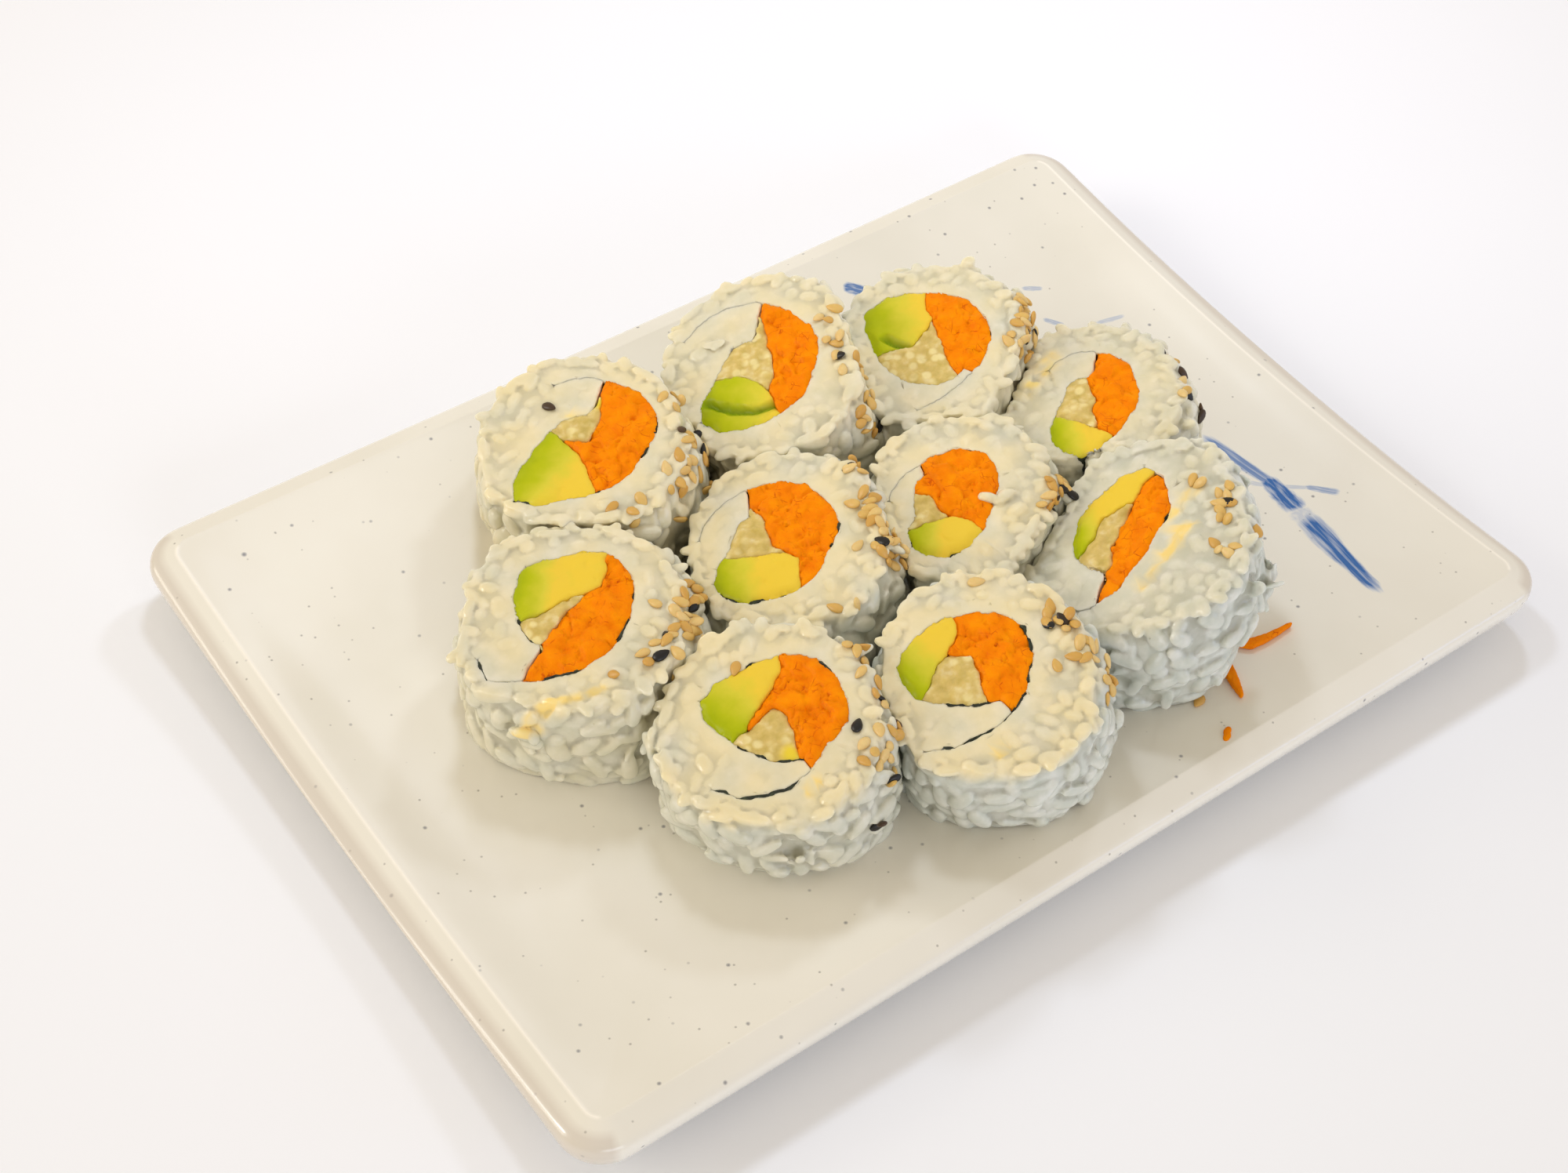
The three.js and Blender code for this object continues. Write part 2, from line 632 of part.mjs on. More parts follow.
// A shred lies on the dish: a flat strip along its line, pointed at the far end.
function makeShred(shred) {
  const knots = shred.path.map(([x, y]) => new THREE.Vector3(x, y, 0));
  const curve = new THREE.CatmullRomCurve3(knots);
  const left = [];
  const right = [];
  for (let i = 0; i <= shredSteps; i += 1) {
    const share = i / shredSteps;
    const point = curve.getPoint(share);
    const tangent = curve.getTangent(share);
    const half = (shred.width / 2) * (1 - shredPoint * share ** 2);
    left.push(new THREE.Vector2(point.x - tangent.y * half, point.y + tangent.x * half));
    right.push(new THREE.Vector2(point.x + tangent.y * half, point.y - tangent.x * half));
  }
  const strip = prism([...left, ...right.reverse()], shred.thickness);
  moveVertices(strip, (point) => {
    point.z += dishHeight(point.x, point.y) + restGap;
  });
  addMesh(model, shred.name, bareGeometry(strip), 'carrot');
}

for (const piece of pieces) {
  piece.floor = dishHeight(...piece.at) + restGap;
  piece.tilt ??= [-piece.lean[0], -piece.lean[1]];
  piece.lift ??= [0, 0];
  piece.foot ??= 1;
}
addMesh(model, 'plate', makePlate(), 'stoneware');
pieces.forEach(makePiece);
shreds.forEach(makeShred);

export default model;
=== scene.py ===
import math
import random

import bmesh
import bpy
import numpy as np
from mathutils import Matrix, Vector, noise
from mathutils.bvhtree import BVHTree


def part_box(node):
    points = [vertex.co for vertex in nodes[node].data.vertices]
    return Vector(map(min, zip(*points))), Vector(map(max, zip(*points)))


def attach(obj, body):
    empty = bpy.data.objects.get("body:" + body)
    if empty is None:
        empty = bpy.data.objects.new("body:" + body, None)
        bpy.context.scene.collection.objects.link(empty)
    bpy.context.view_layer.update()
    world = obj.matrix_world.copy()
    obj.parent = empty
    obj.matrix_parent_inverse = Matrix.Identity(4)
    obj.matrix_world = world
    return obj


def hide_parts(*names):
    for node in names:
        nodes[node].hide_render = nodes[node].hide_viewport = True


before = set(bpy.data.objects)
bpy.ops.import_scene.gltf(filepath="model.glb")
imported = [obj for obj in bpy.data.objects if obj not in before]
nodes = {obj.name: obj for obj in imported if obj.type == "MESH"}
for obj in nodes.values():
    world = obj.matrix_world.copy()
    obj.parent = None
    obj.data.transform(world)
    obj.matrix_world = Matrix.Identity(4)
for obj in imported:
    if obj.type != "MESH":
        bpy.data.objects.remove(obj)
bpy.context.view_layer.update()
mm = 0.001
print("frame loaded:", len(nodes), "solids")


def linear(hexColor):
    # sRGB hex to linear RGBA
    channels = [int(hexColor[i:i + 2], 16) / 255 for i in (1, 3, 5)]
    return tuple(c / 12.92 if c <= 0.04045 else ((c + 0.055) / 1.055) ** 2.4 for c in channels) + (1,)


def startMaterial(name):
    # gives the material, the function that adds a node to it, and the Object coordinates
    material = bpy.data.materials.new(name)
    material.use_nodes = True
    material.node_tree.nodes.clear()

    def add(kind, inputs=None, output=0, stops=(), **settings):
        # an input is another node's output, a hex colour or a value, and its key a name or a number
        node = material.node_tree.nodes.new("ShaderNode" + kind)
        for key, value in settings.items():
            setattr(node, key, value)
        for key, value in (inputs or {}).items():
            if isinstance(value, bpy.types.NodeSocket):
                material.node_tree.links.new(value, node.inputs[key])
            else:
                node.inputs[key].default_value = linear(value) if isinstance(value, str) else value
        for index, (position, color) in enumerate(stops):
            elements = node.color_ramp.elements
            element = elements[index] if index < 2 else elements.new(position)
            element.position = position
            element.color = linear(color)
        return node.outputs[output] if node.outputs else None

    return material, add, add("TexCoord", output="Object")


def finishMaterial(material, add, relief, shader):
    # relief is the height that the bump reads, its strength and its distance
    if relief:
        shader["Normal"] = add("Bump", dict(zip(("Height", "Strength", "Distance"), relief)))
    add("OutputMaterial", {"Surface": add("BsdfPrincipled", shader)})
    return material


def objectFrom(name, mesh, material):
    mesh.materials.clear()
    mesh.materials.append(material)
    mesh.polygons.foreach_set("use_smooth", [True] * len(mesh.polygons))
    piece = bpy.data.objects.new(name, mesh)
    bpy.context.scene.collection.objects.link(piece)
    return piece


def mergedCopy(node):
    # a CAD node is loose triangles, so a copy of it is joined before it is shaped
    shape = bmesh.new()
    shape.from_mesh(nodes[node].data)
    bmesh.ops.remove_doubles(shape, verts=shape.verts, dist=0.002 * mm)
    return shape


def treeOf(*names):
    # one search tree over several CAD nodes
    vertices = []
    faces = []
    for name in names:
        mesh = nodes[name].data
        start = len(vertices)
        vertices += [vertex.co.copy() for vertex in mesh.vertices]
        faces += [[start + i for i in polygon.vertices] for polygon in mesh.polygons]
    return BVHTree.FromPolygons(vertices, faces)


def repeated(base, matrices):
    # copies of one small bmesh, as arrays of points and faces
    corners = np.array([vertex.co for vertex in base.verts])
    loops = np.array([[vertex.index for vertex in face.verts] for face in base.faces])
    turns = np.array([list(map(list, matrix)) for matrix in matrices])
    points = np.einsum("nij,kj->nki", turns[:, :3, :3], corners) + turns[:, None, :3, 3]
    faces = loops[None] + (np.arange(len(turns)) * len(corners))[:, None, None]
    return points.reshape(-1, 3), faces.reshape(-1, loops.shape[1])


def joinedMesh(name, shape, points, faces):
    # a bmesh and the arrays of its copies in one mesh
    start = len(shape.verts)
    shape.verts.index_update()
    vertices = [vertex.co[:] for vertex in shape.verts] + points.tolist()
    loops = [[vertex.index for vertex in face.verts] for face in shape.faces] + (faces + start).tolist()
    mesh = bpy.data.meshes.new(name)
    mesh.from_pydata(vertices, [], loops)
    return mesh


def meshOf(name, shape):
    mesh = bpy.data.meshes.new(name)
    shape.to_mesh(mesh)
    shape.free()
    return mesh


def remeshed(mesh, voxel, rounds=1, keep=1):
    # one closed skin over everything in the mesh, smoothed, with that share of its faces kept
    name = mesh.name
    carrier = bpy.data.objects.new(name, mesh)
    bpy.context.scene.collection.objects.link(carrier)
    skin = carrier.modifiers.new("skin", "REMESH")
    skin.mode = "VOXEL"
    skin.voxel_size = voxel
    smooth = carrier.modifiers.new("smooth", "SMOOTH")
    smooth.iterations = rounds
    if keep < 1:
        carrier.modifiers.new("thin", "DECIMATE").ratio = keep
    made = bpy.data.meshes.new_from_object(carrier.evaluated_get(bpy.context.evaluated_depsgraph_get()))
    bpy.data.objects.remove(carrier)
    bpy.data.meshes.remove(mesh)
    made.name = name
    return made


def positions(mesh):
    flat = np.empty(len(mesh.vertices) * 3)
    mesh.vertices.foreach_get("co", flat)
    return flat.reshape(-1, 3)


def setPositions(mesh, points):
    mesh.vertices.foreach_set("co", np.asarray(points, dtype=np.float64).ravel())
    mesh.update()


def setAttribute(mesh, name, values):
    attribute = mesh.attributes.new(name, "FLOAT", "POINT")
    attribute.data.foreach_set("value", np.asarray(values, dtype=np.float64))


def vertexNormals(mesh):
    flat = np.empty(len(mesh.vertices) * 3)
    mesh.vertex_normals.foreach_get("vector", flat)
    return flat.reshape(-1, 3)


def noiseAt(points, size):
    return np.array([noise.noise(Vector(point) / size) for point in points])


def awayFromLine(points, start, end):
    # distance of each point, seen from above, from a line on the plate that is given in mm
    start, end = np.array(start) * mm, np.array(end) * mm
    share = np.clip((points[:, :2] - start) @ (end - start) / ((end - start) @ (end - start)), 0, 1)
    return np.linalg.norm(points[:, :2] - start - share[:, None] * (end - start), axis=1)


def towards(degrees):
    return Vector((math.cos(math.radians(degrees)), math.sin(math.radians(degrees)), 0))


def lyingOn(place, normal, angle, tilt, size):
    # the matrix of something small that lies on a surface, turned and tilted there
    turn = normal.to_track_quat("Z", "X").to_matrix().to_4x4()
    turn = turn @ Matrix.Rotation(angle, 4, "Z") @ Matrix.Rotation(tilt, 4, "Y")
    return Matrix.Translation(place) @ turn @ Matrix.Diagonal((*size, 1))


# where the ten pieces stand is read from the frame

rollNames = ["back_left", "back", "back_right", "right_back", "middle_left",
             "middle", "right", "front_left", "front", "front_right"]


def readRoll(name):
    # the nori's upper half of vertices lies in the cut face, and the rice around it has the middle
    points = positions(nodes[name + "_nori"].data)
    points = np.unique(np.round(points / mm, 3), axis=0) * mm
    face = points[np.argsort(points[:, 2])[len(points) // 2:]]
    columns = np.c_[face[:, 0], face[:, 1], np.ones(len(face))]
    slopeX, slopeY, level = np.linalg.lstsq(columns, face[:, 2], rcond=None)[0]
    rice = positions(nodes[name + "_rice"].data)
    top = rice[rice[:, 2] > rice[:, 0] * slopeX + rice[:, 1] * slopeY + level - 6 * mm]
    middle = (top.min(0) + top.max(0)) / 2
    middle[2] = middle[0] * slopeX + middle[1] * slopeY + level
    return {"middle": Vector(middle), "normal": Vector((-slopeX, -slopeY, 1)).normalized()}


rolls = {name: readRoll(name) for name in rollNames}
outside = 60 * mm  # from a piece's middle, where a ray starts that looks for its flank


def heightOverFace(roll, points):
    # signed distance above the cut face
    return (points - np.array(roll["middle"])) @ np.array(roll["normal"])


def overFace(roll, place):
    return (place - roll["middle"]).dot(roll["normal"])


riceLook = {
    "flatness": 0.64,          # a cooked grain is pressed a little flat
    "bluntness": 2.5,          # 2 would be an ellipsoid, more gives fuller ends
    "lengths": (0.8, 1.12),    # how far single grains differ
    "widths": (0.85, 1.1),
    "axisEnd": 0.36,           # a grain's axis is tried at its middle and this far to both ends
    "room": 1.1 * mm,          # which stay this far from the nori and the fillings
    "strayGrain": (5.5 * mm, 2.4 * mm),
    "strayLift": 0.5 * mm,
    "strayReach": 4.5 * mm,    # round a stray grain nothing is pressed down
    "knobGrain": (5 * mm, 2.4 * mm),
    "knobGrains": 5,
    "knobSpread": 0.9 * mm,
    "knobDepth": 1.3 * mm,     # of the grains' middle under the knob's top
    "knobTilt": 0.5,
    "voxel": 0.34 * mm,
    "rounds": 1,
    "keep": 0.46,              # share of the faces kept, most of them on the grains
    "coreDepth": 0.55 * mm,    # the core lies this far under the solid's surface
    "coreShare": 0.45,         # but no more than this share of the way to the nori
    "seam": 0.9 * mm,          # what lies nearer to the nori than this is the solid's inner wall
    "faceUp": 0.8,             # how far a triangle of the cut face looks along its normal
    "baseDown": -0.75,
    "upright": 0.3,            # a triangle of the inner wall looks less up or down than this
    "sliver": 1e-10,           # smaller triangles in m2 carry no grains
    # the grains in the order they are laid: top ones side by side, then what shows between them;
    # in mm a grain's length and width, how deep its middle lies and how much that varies, then its
    # tilt, the least distance to the next one's axis in mm, and how many are tried
    "layers": [
        ("flank", 6.8, 3.3, 0.45, 0.2, 0.08, 2.5, 1500),
        ("flank", 5.8, 2.9, 0.85, 0.15, 0.15, 1.7, 500),
        ("face", 4.6, 2.5, 0.66, 0.15, 0.12, 1.8, 900),
        ("face", 4.6, 2.5, 0.9, 0.15, 0.15, 1.4, 300),
    ],
    "overFace": 0.8 * mm,      # a flank grain's ends may stand this far over the cut face
    "rimSink": 0.7 * mm,       # grains along the knife's edge are pressed in by this much
    "rimReach": 3.5 * mm,
    "crevice": 0.1 * mm,       # a point this far under its surroundings is in a gap between grains
    "around": 4,               # rounds of neighbours that count as its surroundings
    "lumps": 0.9 * mm,         # slow swell and sink of the whole flank
    "lumpSize": 7 * mm,
    "lumpsFrom": 3 * mm,       # they set in this far under the cut face and end over the base
    "lumpsTo": 8 * mm,
    "faceLimit": 0.1 * mm,     # what stands higher on the cut face was pressed down by the knife
    "facePress": 0.22,
    "wanderReach": 3 * mm,     # down from the cut face
    "wanderBeside": 4 * mm,    # from the nori and the fillings
    "baseDrop": 0.3 * mm,      # closes the solids' gap to the plate
    "seed": 7,
}

# grains that are out of line: on the plate in mm, direction in degrees; they lie on a cut face
strayGrains = {"middle": [(20.6, -13.4, -25), (22.4, -14.6, 10)]}

# knobs that stick out of a flank: angle round the piece, mm down from the cut face, mm outwards
riceKnobs = {"right": [(-57, 4, 2.6), (-50, 6, 1.8), (-62, 7, 1.5)], "back": [(118, 2, 1.2), (150, 1, 1.4)],
             "front": [(-115, 12, 1.2), (150, 6, 1.3)], "front_left": [(-150, 8, 1.3)]}


grainShape = bmesh.new()
bmesh.ops.create_icosphere(grainShape, subdivisions=2, radius=0.5)
for vertex in grainShape.verts:
    power = riceLook["bluntness"]
    vertex.co *= 0.5 / sum(abs(c) ** power for c in vertex.co) ** (1 / power)


def grainMatrix(place, normal, angle, tilt, length, width):
    return lyingOn(place, normal, angle, tilt, (length, width, width * riceLook["flatness"]))


def packGrains(groups, layer, roll, inner, draw):
    # grains at random places on the triangles, by area, kept only where there is room for them
    look = riceLook
    side, length, width, sink, spread, tilt, apart, tries = layer
    triangles = groups[side]
    corners = np.array([[vertex.co for vertex in face.verts] for face in triangles])
    areas = np.linalg.norm(np.cross(corners[:, 1] - corners[:, 0], corners[:, 2] - corners[:, 0]), axis=1)
    chosen = draw.choice(len(corners), tries, p=areas / areas.sum())
    taken = np.empty((0, 3))
    grains = []
    for index in chosen:
        u, v = sorted(draw.random(2))
        place = Vector(corners[index, 0] * u + corners[index, 1] * (v - u) + corners[index, 2] * (1 - v))
        normal = triangles[index].normal
        matrix = grainMatrix(place, normal, draw.uniform(0, math.pi), draw.normal(0, tilt),
                             length * mm * draw.uniform(*look["lengths"]),
                             width * mm * draw.uniform(*look["widths"]))
        axis = Vector(matrix.col[0][:3])
        ends = [place + axis * share for share in (-look["axisEnd"], 0, look["axisEnd"])]
        if side == "flank" and any(overFace(roll, end) > look["overFace"] for end in ends):
            continue
        if any(inner.find_nearest(end, look["room"])[0] for end in ends):
            continue
        spots = np.array(ends)
        if len(taken) and np.min(np.linalg.norm(taken[None] - spots[:, None], axis=2)) < apart * mm:
            continue
        taken = np.vstack([taken, spots])
        depth = (sink + draw.normal(0, spread)) * mm
        if side == "flank":
            depth += look["rimSink"] * max(0, 1 + overFace(roll, place) / look["rimReach"])
        grains.append(Matrix.Translation(-normal * depth) @ matrix)
    return grains


def ontoFace(roll, x, y):
    # the point of the cut face above a place on the plate
    middle, normal = roll["middle"], roll["normal"]
    return Vector((x, y, middle.z - (normal.x * (x - middle.x) + normal.y * (y - middle.y)) / normal.z))


# Where the nori shows at the cut face, as ranges of angle round the piece. Elsewhere rice and
# fillings are squeezed over it.
noriShows = {
    "back_left": [(-178, -155), (-122, -112), (-60, -45), (-32, -15)],
    "back": [(-75, -65)],
    "middle_left": [(-174, -130), (-65, -20)],
    "middle": [(-172, -160), (-140, -125), (-75, -60)],
    "right": [(-5, 20)],
    "front_left": [(-75, 0), (150, 180), (-180, -110)],
    "front": [(-175, -95), (-60, -45), (0, 20), (58, 80), (135, 175)],
    "front_right": [(-180, -80), (-60, 25), (176, 180)],
}
cover = {
    "hidden": 1.3, "showing": 0.72,  # share covered, before the noise
    "noise": 0.8,
    "least": 0.52,                   # even where it shows, only its edge does
    "patches": 3 * mm,
    "gap": 0.3 * mm,                 # between the solids of two layers
    "reach": 0.42 * mm,              # how far the rice and a filling each come over the nori
    "width": 1.5 * mm,               # what lies nearer than this is drawn along
    "touching": 0.02 * mm,
    "depth": 2 * mm,
}
wanderLook = {"wide": (3 * mm, 0.55 * mm), "fine": (1 * mm, 0.2 * mm)}  # size and shift of each noise


def noriCover(name, place):
    # 1 where the nori is covered, 0 where it shows
    middle = rolls[name]["middle"]
    angle = math.degrees(math.atan2(place.y - middle.y, place.x - middle.x))
    showing = any(start < angle < end for start, end in noriShows.get(name, []))
    share = cover["showing" if showing else "hidden"]
    share += cover["noise"] * noise.noise(place / cover["patches"])
    return min(max(share, cover["least"]), 1)


def closeOver(name, points, above, leaf):
    # near the cut face, what lies beside the nori is squeezed over its edge
    for i in np.nonzero(above > -cover["depth"])[0]:
        nearest, _, _, distance = leaf.find_nearest(Vector(points[i]), cover["width"])
        if nearest is None or distance < cover["touching"]:
            continue
        near = min((cover["width"] - distance) / (cover["width"] - cover["gap"]), 1)
        shallow = min((above[i] + cover["depth"]) / (0.5 * cover["depth"]), 1)
        amount = noriCover(name, nearest) * near * shallow * (distance + cover["reach"])
        step = nearest - Vector(points[i])
        points[i] += np.array(step / step.length * amount)


def wander(roll, points, share):
    # a sideways shift in the cut face, alike in every layer, so that no outline is too clean
    for i in np.nonzero(share > 0)[0]:
        place = Vector(points[i])
        side = Vector((0, 0, 0))
        for size, shift in wanderLook.values():
            side += noise.noise_vector(place / size) * shift
        side -= roll["normal"] * side.dot(roll["normal"])
        points[i] += np.array(side * share[i])


# How warm the rice is, from 0 for clear grains to 1 where the avocado stained it: on the cut face,
# on the flank, then smears along lines on the plate in mm, each with its width and strength.
riceStains = {
    "back_left": (0.55, 0.4, [((-36, 47), (-28, 42), 3, 0.5)]),
    "back": (0.5, 0.3, []),
    "back_right": (0.45, 0.3, []),
    "right_back": (0.42, 0.25, [((48, 8), (58, 12), 4, 0.4)]),
    "middle_left": (0.55, 0.15, []),
    "middle": (0.55, 0.15, []),
    "right": (0.25, 0.0, [((49.7, -37.5), (39.3, -39.5), 2.6, 0.8), ((42, -43.4), (34.6, -45.8), 2.6, 0.9),
                          ((34.6, -45.8), (27.4, -48.2), 2, 0.5)]),
    "front_left": (0.5, 0.3, [((-83.7, -6.9), (-76.3, -8.6), 2.2, 0.8),
                              ((-76.3, -8.6), (-67.1, -11.3), 2, 0.6)]),
    "front": (0.55, 0.15, [((-49.4, -49.8), (-47.4, -48.4), 2, 0.8)]),
    "front_right": (0.6, 0.03, [((-17.8, -61.9), (-15.4, -61.3), 1.6, 0.5)]),
}


stainLook = {
    "patches": 6 * mm, "patchiness": 0.6,
    "rim": 2.5 * mm,       # below the cut face the face's stain turns into the flank's
    "most": 0.65,          # of the stain without its smears
    "smearDown": 7 * mm,   # how far down the flank a smear runs
    "smearPatches": 2.2 * mm,
    "smearSolid": 1.4,     # above 1, so that a smear is even in its middle
    "smearMean": 0.9, "smearPatchiness": 1.3,
}


def stainOf(name, points, above):
    # smears fade out round their line and break up in patches
    look = stainLook
    face, flank, smears = riceStains[name]
    values = flank + (face - flank) * np.clip(1 + above / look["rim"], 0, 1)
    values = values * (1 + look["patchiness"] * noiseAt(points, look["patches"]))
    smeared = np.zeros(len(points))
    for start, end, width, strength in smears:
        away = awayFromLine(points, start, end) / (width / 2 * mm)
        smeared += strength * np.clip(look["smearSolid"] - away, 0, 1) * (above > -look["smearDown"])
    smeared *= look["smearMean"] + look["smearPatchiness"] * noiseAt(points, look["smearPatches"])
    return np.clip(np.minimum(values, look["most"]) + smeared, 0, 1)


def creviceOf(mesh, points):
    # how far each point lies under the mean of its surroundings, as a share of a crevice's depth
    edges = np.empty(len(mesh.edges) * 2, dtype=np.int32)
    mesh.edges.foreach_get("vertices", edges)
    ends = np.concatenate([edges.reshape(-1, 2), edges.reshape(-1, 2)[:, ::-1]])
    count = np.maximum(np.bincount(ends[:, 0], minlength=len(points)), 1)

    def spread(values):
        return np.bincount(ends[:, 0], values[ends[:, 1]], len(points)) / count

    around = points.copy()
    for _ in range(riceLook["around"]):
        around = np.stack([spread(around[:, axis]) for axis in range(3)], axis=1)
    under = ((around - points) * vertexNormals(mesh)).sum(axis=1)
    return np.clip(spread(under) / riceLook["crevice"], -1, 1)


def makeRice(name):
    roll = rolls[name]
    look = riceLook
    draw = np.random.default_rng(look["seed"] + rollNames.index(name))
    inner = treeOf(*[f"{name}_{layer}" for layer in ("nori", "avocado", "carrot", "cucumber")])
    solid = treeOf(name + "_rice")
    core = mergedCopy(name + "_rice")
    core.normal_update()
    toInner = {v.index: inner.find_nearest(v.co)[3] for v in core.verts}
    groups = {"face": [], "flank": []}
    for triangle in core.faces:
        if triangle.calc_area() < look["sliver"]:
            continue
        up = triangle.normal.dot(roll["normal"])
        inside = all(toInner[v.index] < look["seam"] for v in triangle.verts)
        if up > look["faceUp"]:
            groups["face"].append(triangle)
        elif up > look["baseDown"] and not (inside and abs(up) < look["upright"]):
            groups["flank"].append(triangle)
    grains = []
    for layer in look["layers"]:
        grains += packGrains(groups, layer, roll, inner, draw)
    for x, y, angle in strayGrains.get(name, []):
        place = ontoFace(roll, x * mm, y * mm)
        grains.append(grainMatrix(place + roll["normal"] * look["strayLift"], roll["normal"],
                                  math.radians(angle), 0, *look["strayGrain"]))
    for angle, drop, out in riceKnobs.get(name, []):
        direction = towards(angle)
        target = roll["middle"] - roll["normal"] * drop * mm
        hit = solid.ray_cast(target + direction * outside, -direction)
        for _ in range(look["knobGrains"]):
            shift = Vector(draw.normal(0, look["knobSpread"], 3))
            grains.append(grainMatrix(hit[0] + direction * (out * mm - look["knobDepth"]) + shift, direction,
                                      draw.uniform(0, math.pi), draw.normal(0, look["knobTilt"]),
                                      *look["knobGrain"]))
    for vertex in core.verts:
        room = toInner[vertex.index]
        if vertex.normal.z < look["baseDown"]:
            vertex.co.z -= look["baseDrop"]
        elif room > look["seam"]:
            vertex.co -= vertex.normal * min(look["coreDepth"], look["coreShare"] * room)
    skin = remeshed(joinedMesh(name + "_rice_grains", core, *repeated(grainShape, grains)),
                    look["voxel"], look["rounds"], look["keep"])
    core.free()
    points = positions(skin)
    above = heightOverFace(roll, points)
    over = above > look["faceLimit"]
    pressed = look["faceLimit"] + (above[over] - look["faceLimit"]) * look["facePress"]
    if name in strayGrains:
        stray = [ontoFace(roll, x * mm, y * mm) for x, y, _ in strayGrains[name]]
        far = np.min([np.linalg.norm(points[over] - np.array(place), axis=1) for place in stray], axis=0)
        pressed = np.where(far < look["strayReach"], above[over], pressed)
    points[over] += (pressed - above[over])[:, None] * np.array(roll["normal"])
    above = heightOverFace(roll, points)
    flank = np.clip(-above / look["lumpsFrom"] - 0.2, 0, 1)
    flank *= np.clip(points[:, 2] / look["lumpsTo"] - 0.8, 0, 1)
    points += vertexNormals(skin) * (look["lumps"] * noiseAt(points, look["lumpSize"]) * flank)[:, None]
    closeOver(name, points, above, treeOf(name + "_nori"))
    far = look["wanderBeside"]
    beside = [1 - (inner.find_nearest(Vector(point), far)[3] or far) / far
              if height > -look["wanderReach"] else 0 for point, height in zip(points, above)]
    wander(roll, points, np.clip(1 + above / look["wanderReach"], 0, 1) * np.array(beside))
    setPositions(skin, points)
    setAttribute(skin, "stain", stainOf(name, points, above))
    setAttribute(skin, "crevice", creviceOf(skin, points))
    return skin, len(grains)


# Cooked short-grain rice: swollen starch that light sinks into, clear grey in itself and cream
# where the avocado's oil is on it, with painted shade between the grains, a faint painted highlight on their
# ridges, and a wet film.
def makeRiceMaterial():
    material, add, place = startMaterial("cookedRice")
    tones = add("TexNoise", {"Vector": place, "Scale": 1 / (3.2 * mm), "Detail": 3})
    grain = add("ValToRGB", {"Fac": tones}, stops=[(0.3, "#bfc5bb"), (0.5, "#c9cdc4"), (0.7, "#d6d8d1")])
    stain = add("Attribute", output="Fac", attribute_name="stain")
    oily = add("ValToRGB", {"Fac": stain}, stops=[(0.65, "#f3dfa4"), (1, "#f3d988")])
    stained = add("Mix", {0: stain, 6: grain, 7: oily}, 2, data_type="RGBA")
    crevice = add("Attribute", output="Fac", attribute_name="crevice")
    # painted shade: where the surface lies under its surroundings, between the grains, the colour is
    # darkened
    gap = add("MapRange", {"Value": crevice, 2: 1, 3: 0.0, 4: 0.42})
    shaded = add("Mix", {0: gap, 6: stained, 7: "#96917a"}, 2, data_type="RGBA")
    # painted highlight: where the surface stands over its surroundings, on the grains' ridges, the colour is
    # made a little lighter
    crest = add("MapRange", {"Value": crevice, 1: 0.0, 2: -1.0, 3: 0.0, 4: 0.1})
    colored = add("Mix", {0: crest, 6: shaded, 7: "#f1eede"}, 2, data_type="RGBA")
    fine = add("TexNoise", {"Vector": place, "Scale": 1 / (1.1 * mm), "Detail": 3})
    clouds = add("TexNoise", {"Vector": place, "Scale": 1 / (14 * mm), "Detail": 3})
    wet = add("MapRange", {"Value": clouds, 3: 0.12, 4: 0.28})
    return finishMaterial(material, add, (fine, 0.25, 0.2 * mm), {
        "Base Color": colored, "Roughness": wet, "IOR": 1.38, "Subsurface Weight": 0.8,
        "Subsurface Radius": (1.0, 0.97, 0.92), "Subsurface Scale": 1.3 * mm})


riceMaterial = makeRiceMaterial()
ricePieces = {}
for rollName in rollNames:
    riceMesh, grainCount = makeRice(rollName)
    ricePiece = objectFrom(rollName + "_rice_grains", riceMesh, riceMaterial)
    ricePieces[rollName] = ricePiece
    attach(ricePiece, "root")
    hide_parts(rollName + "_rice")
    print("rice of", rollName, "-", grainCount, "grains,", len(riceMesh.polygons), "faces")


fillingLook = {
    "voxel": 0.45 * mm,
    "grow": 0.2 * mm,        # closes the solids' gaps
    "reliefDepth": 3 * mm,   # relief fades out this far under the cut face
    # in mm: how high the layer stands over the knife's plane, size and height of its swell, and
    # size, depth and threshold of its pits
    "relief": {"carrot": (0.35, 3, 0.5, 1.3, 3, 0.5), "avocado": (0.3, 4.5, 0.35, 2.2, 0.7, 0.35),
               "cucumber": (0.1, 2.4, 0.7, 1, 0, 0)},
    "shred": 3.4 * mm,       # size of a carrot shred's end
    "shredBend": (2.5 * mm, 1.1 * mm),  # size and shift of the bends in their borders
    "shredStep": 0.45,       # in mm, from one shred to the next
    "crack": 0.55,
    "crackWidth": 0.16,      # as a share of a shred
    "crackPatch": 4 * mm,
    "foldDepth": 1.6 * mm,
    "foldWidth": 1.5 * mm,
    "pulp": 1.7 * mm,        # radius of a cucumber's yellow seed pulp
}

# the side of the avocado that lay under the skin, in degrees, and how far in from there it is green
avocadoGreen = {
    "back_left": (118, 0.62), "back": (140, 0.85), "back_right": (150, 0.7), "right_back": (150, 0.4),
    "middle_left": (156, 0.42), "middle": (140, 0.45), "right": (162, 0.4), "front_left": (140, 0.45),
    "front": (190, 0.55), "front_right": (185, 0.52),
}

# a slice that curled up: the line of its fold on the plate, in mm
avocadoFold = {"back": [(-9.2, 38.1), (-6.8, 33.7), (-3.7, 30.2), (0.4, 29.2)],
               "back_right": [(31.2, 33.6), (33.8, 27)]}

# where yellow seed pulp is left on the cucumber, on the plate in mm
cucumberPulp = {"back_left": (-29.1, 46.4), "front": (-47.5, -41.6)}


def foldDepth(points, line):
    # 1 along the line, falling to 0 at the side of the fold
    away = np.min([awayFromLine(points, start, end) for start, end in zip(line, line[1:])], axis=0)
    return np.clip(1 - away / fillingLook["foldWidth"], 0, 1)


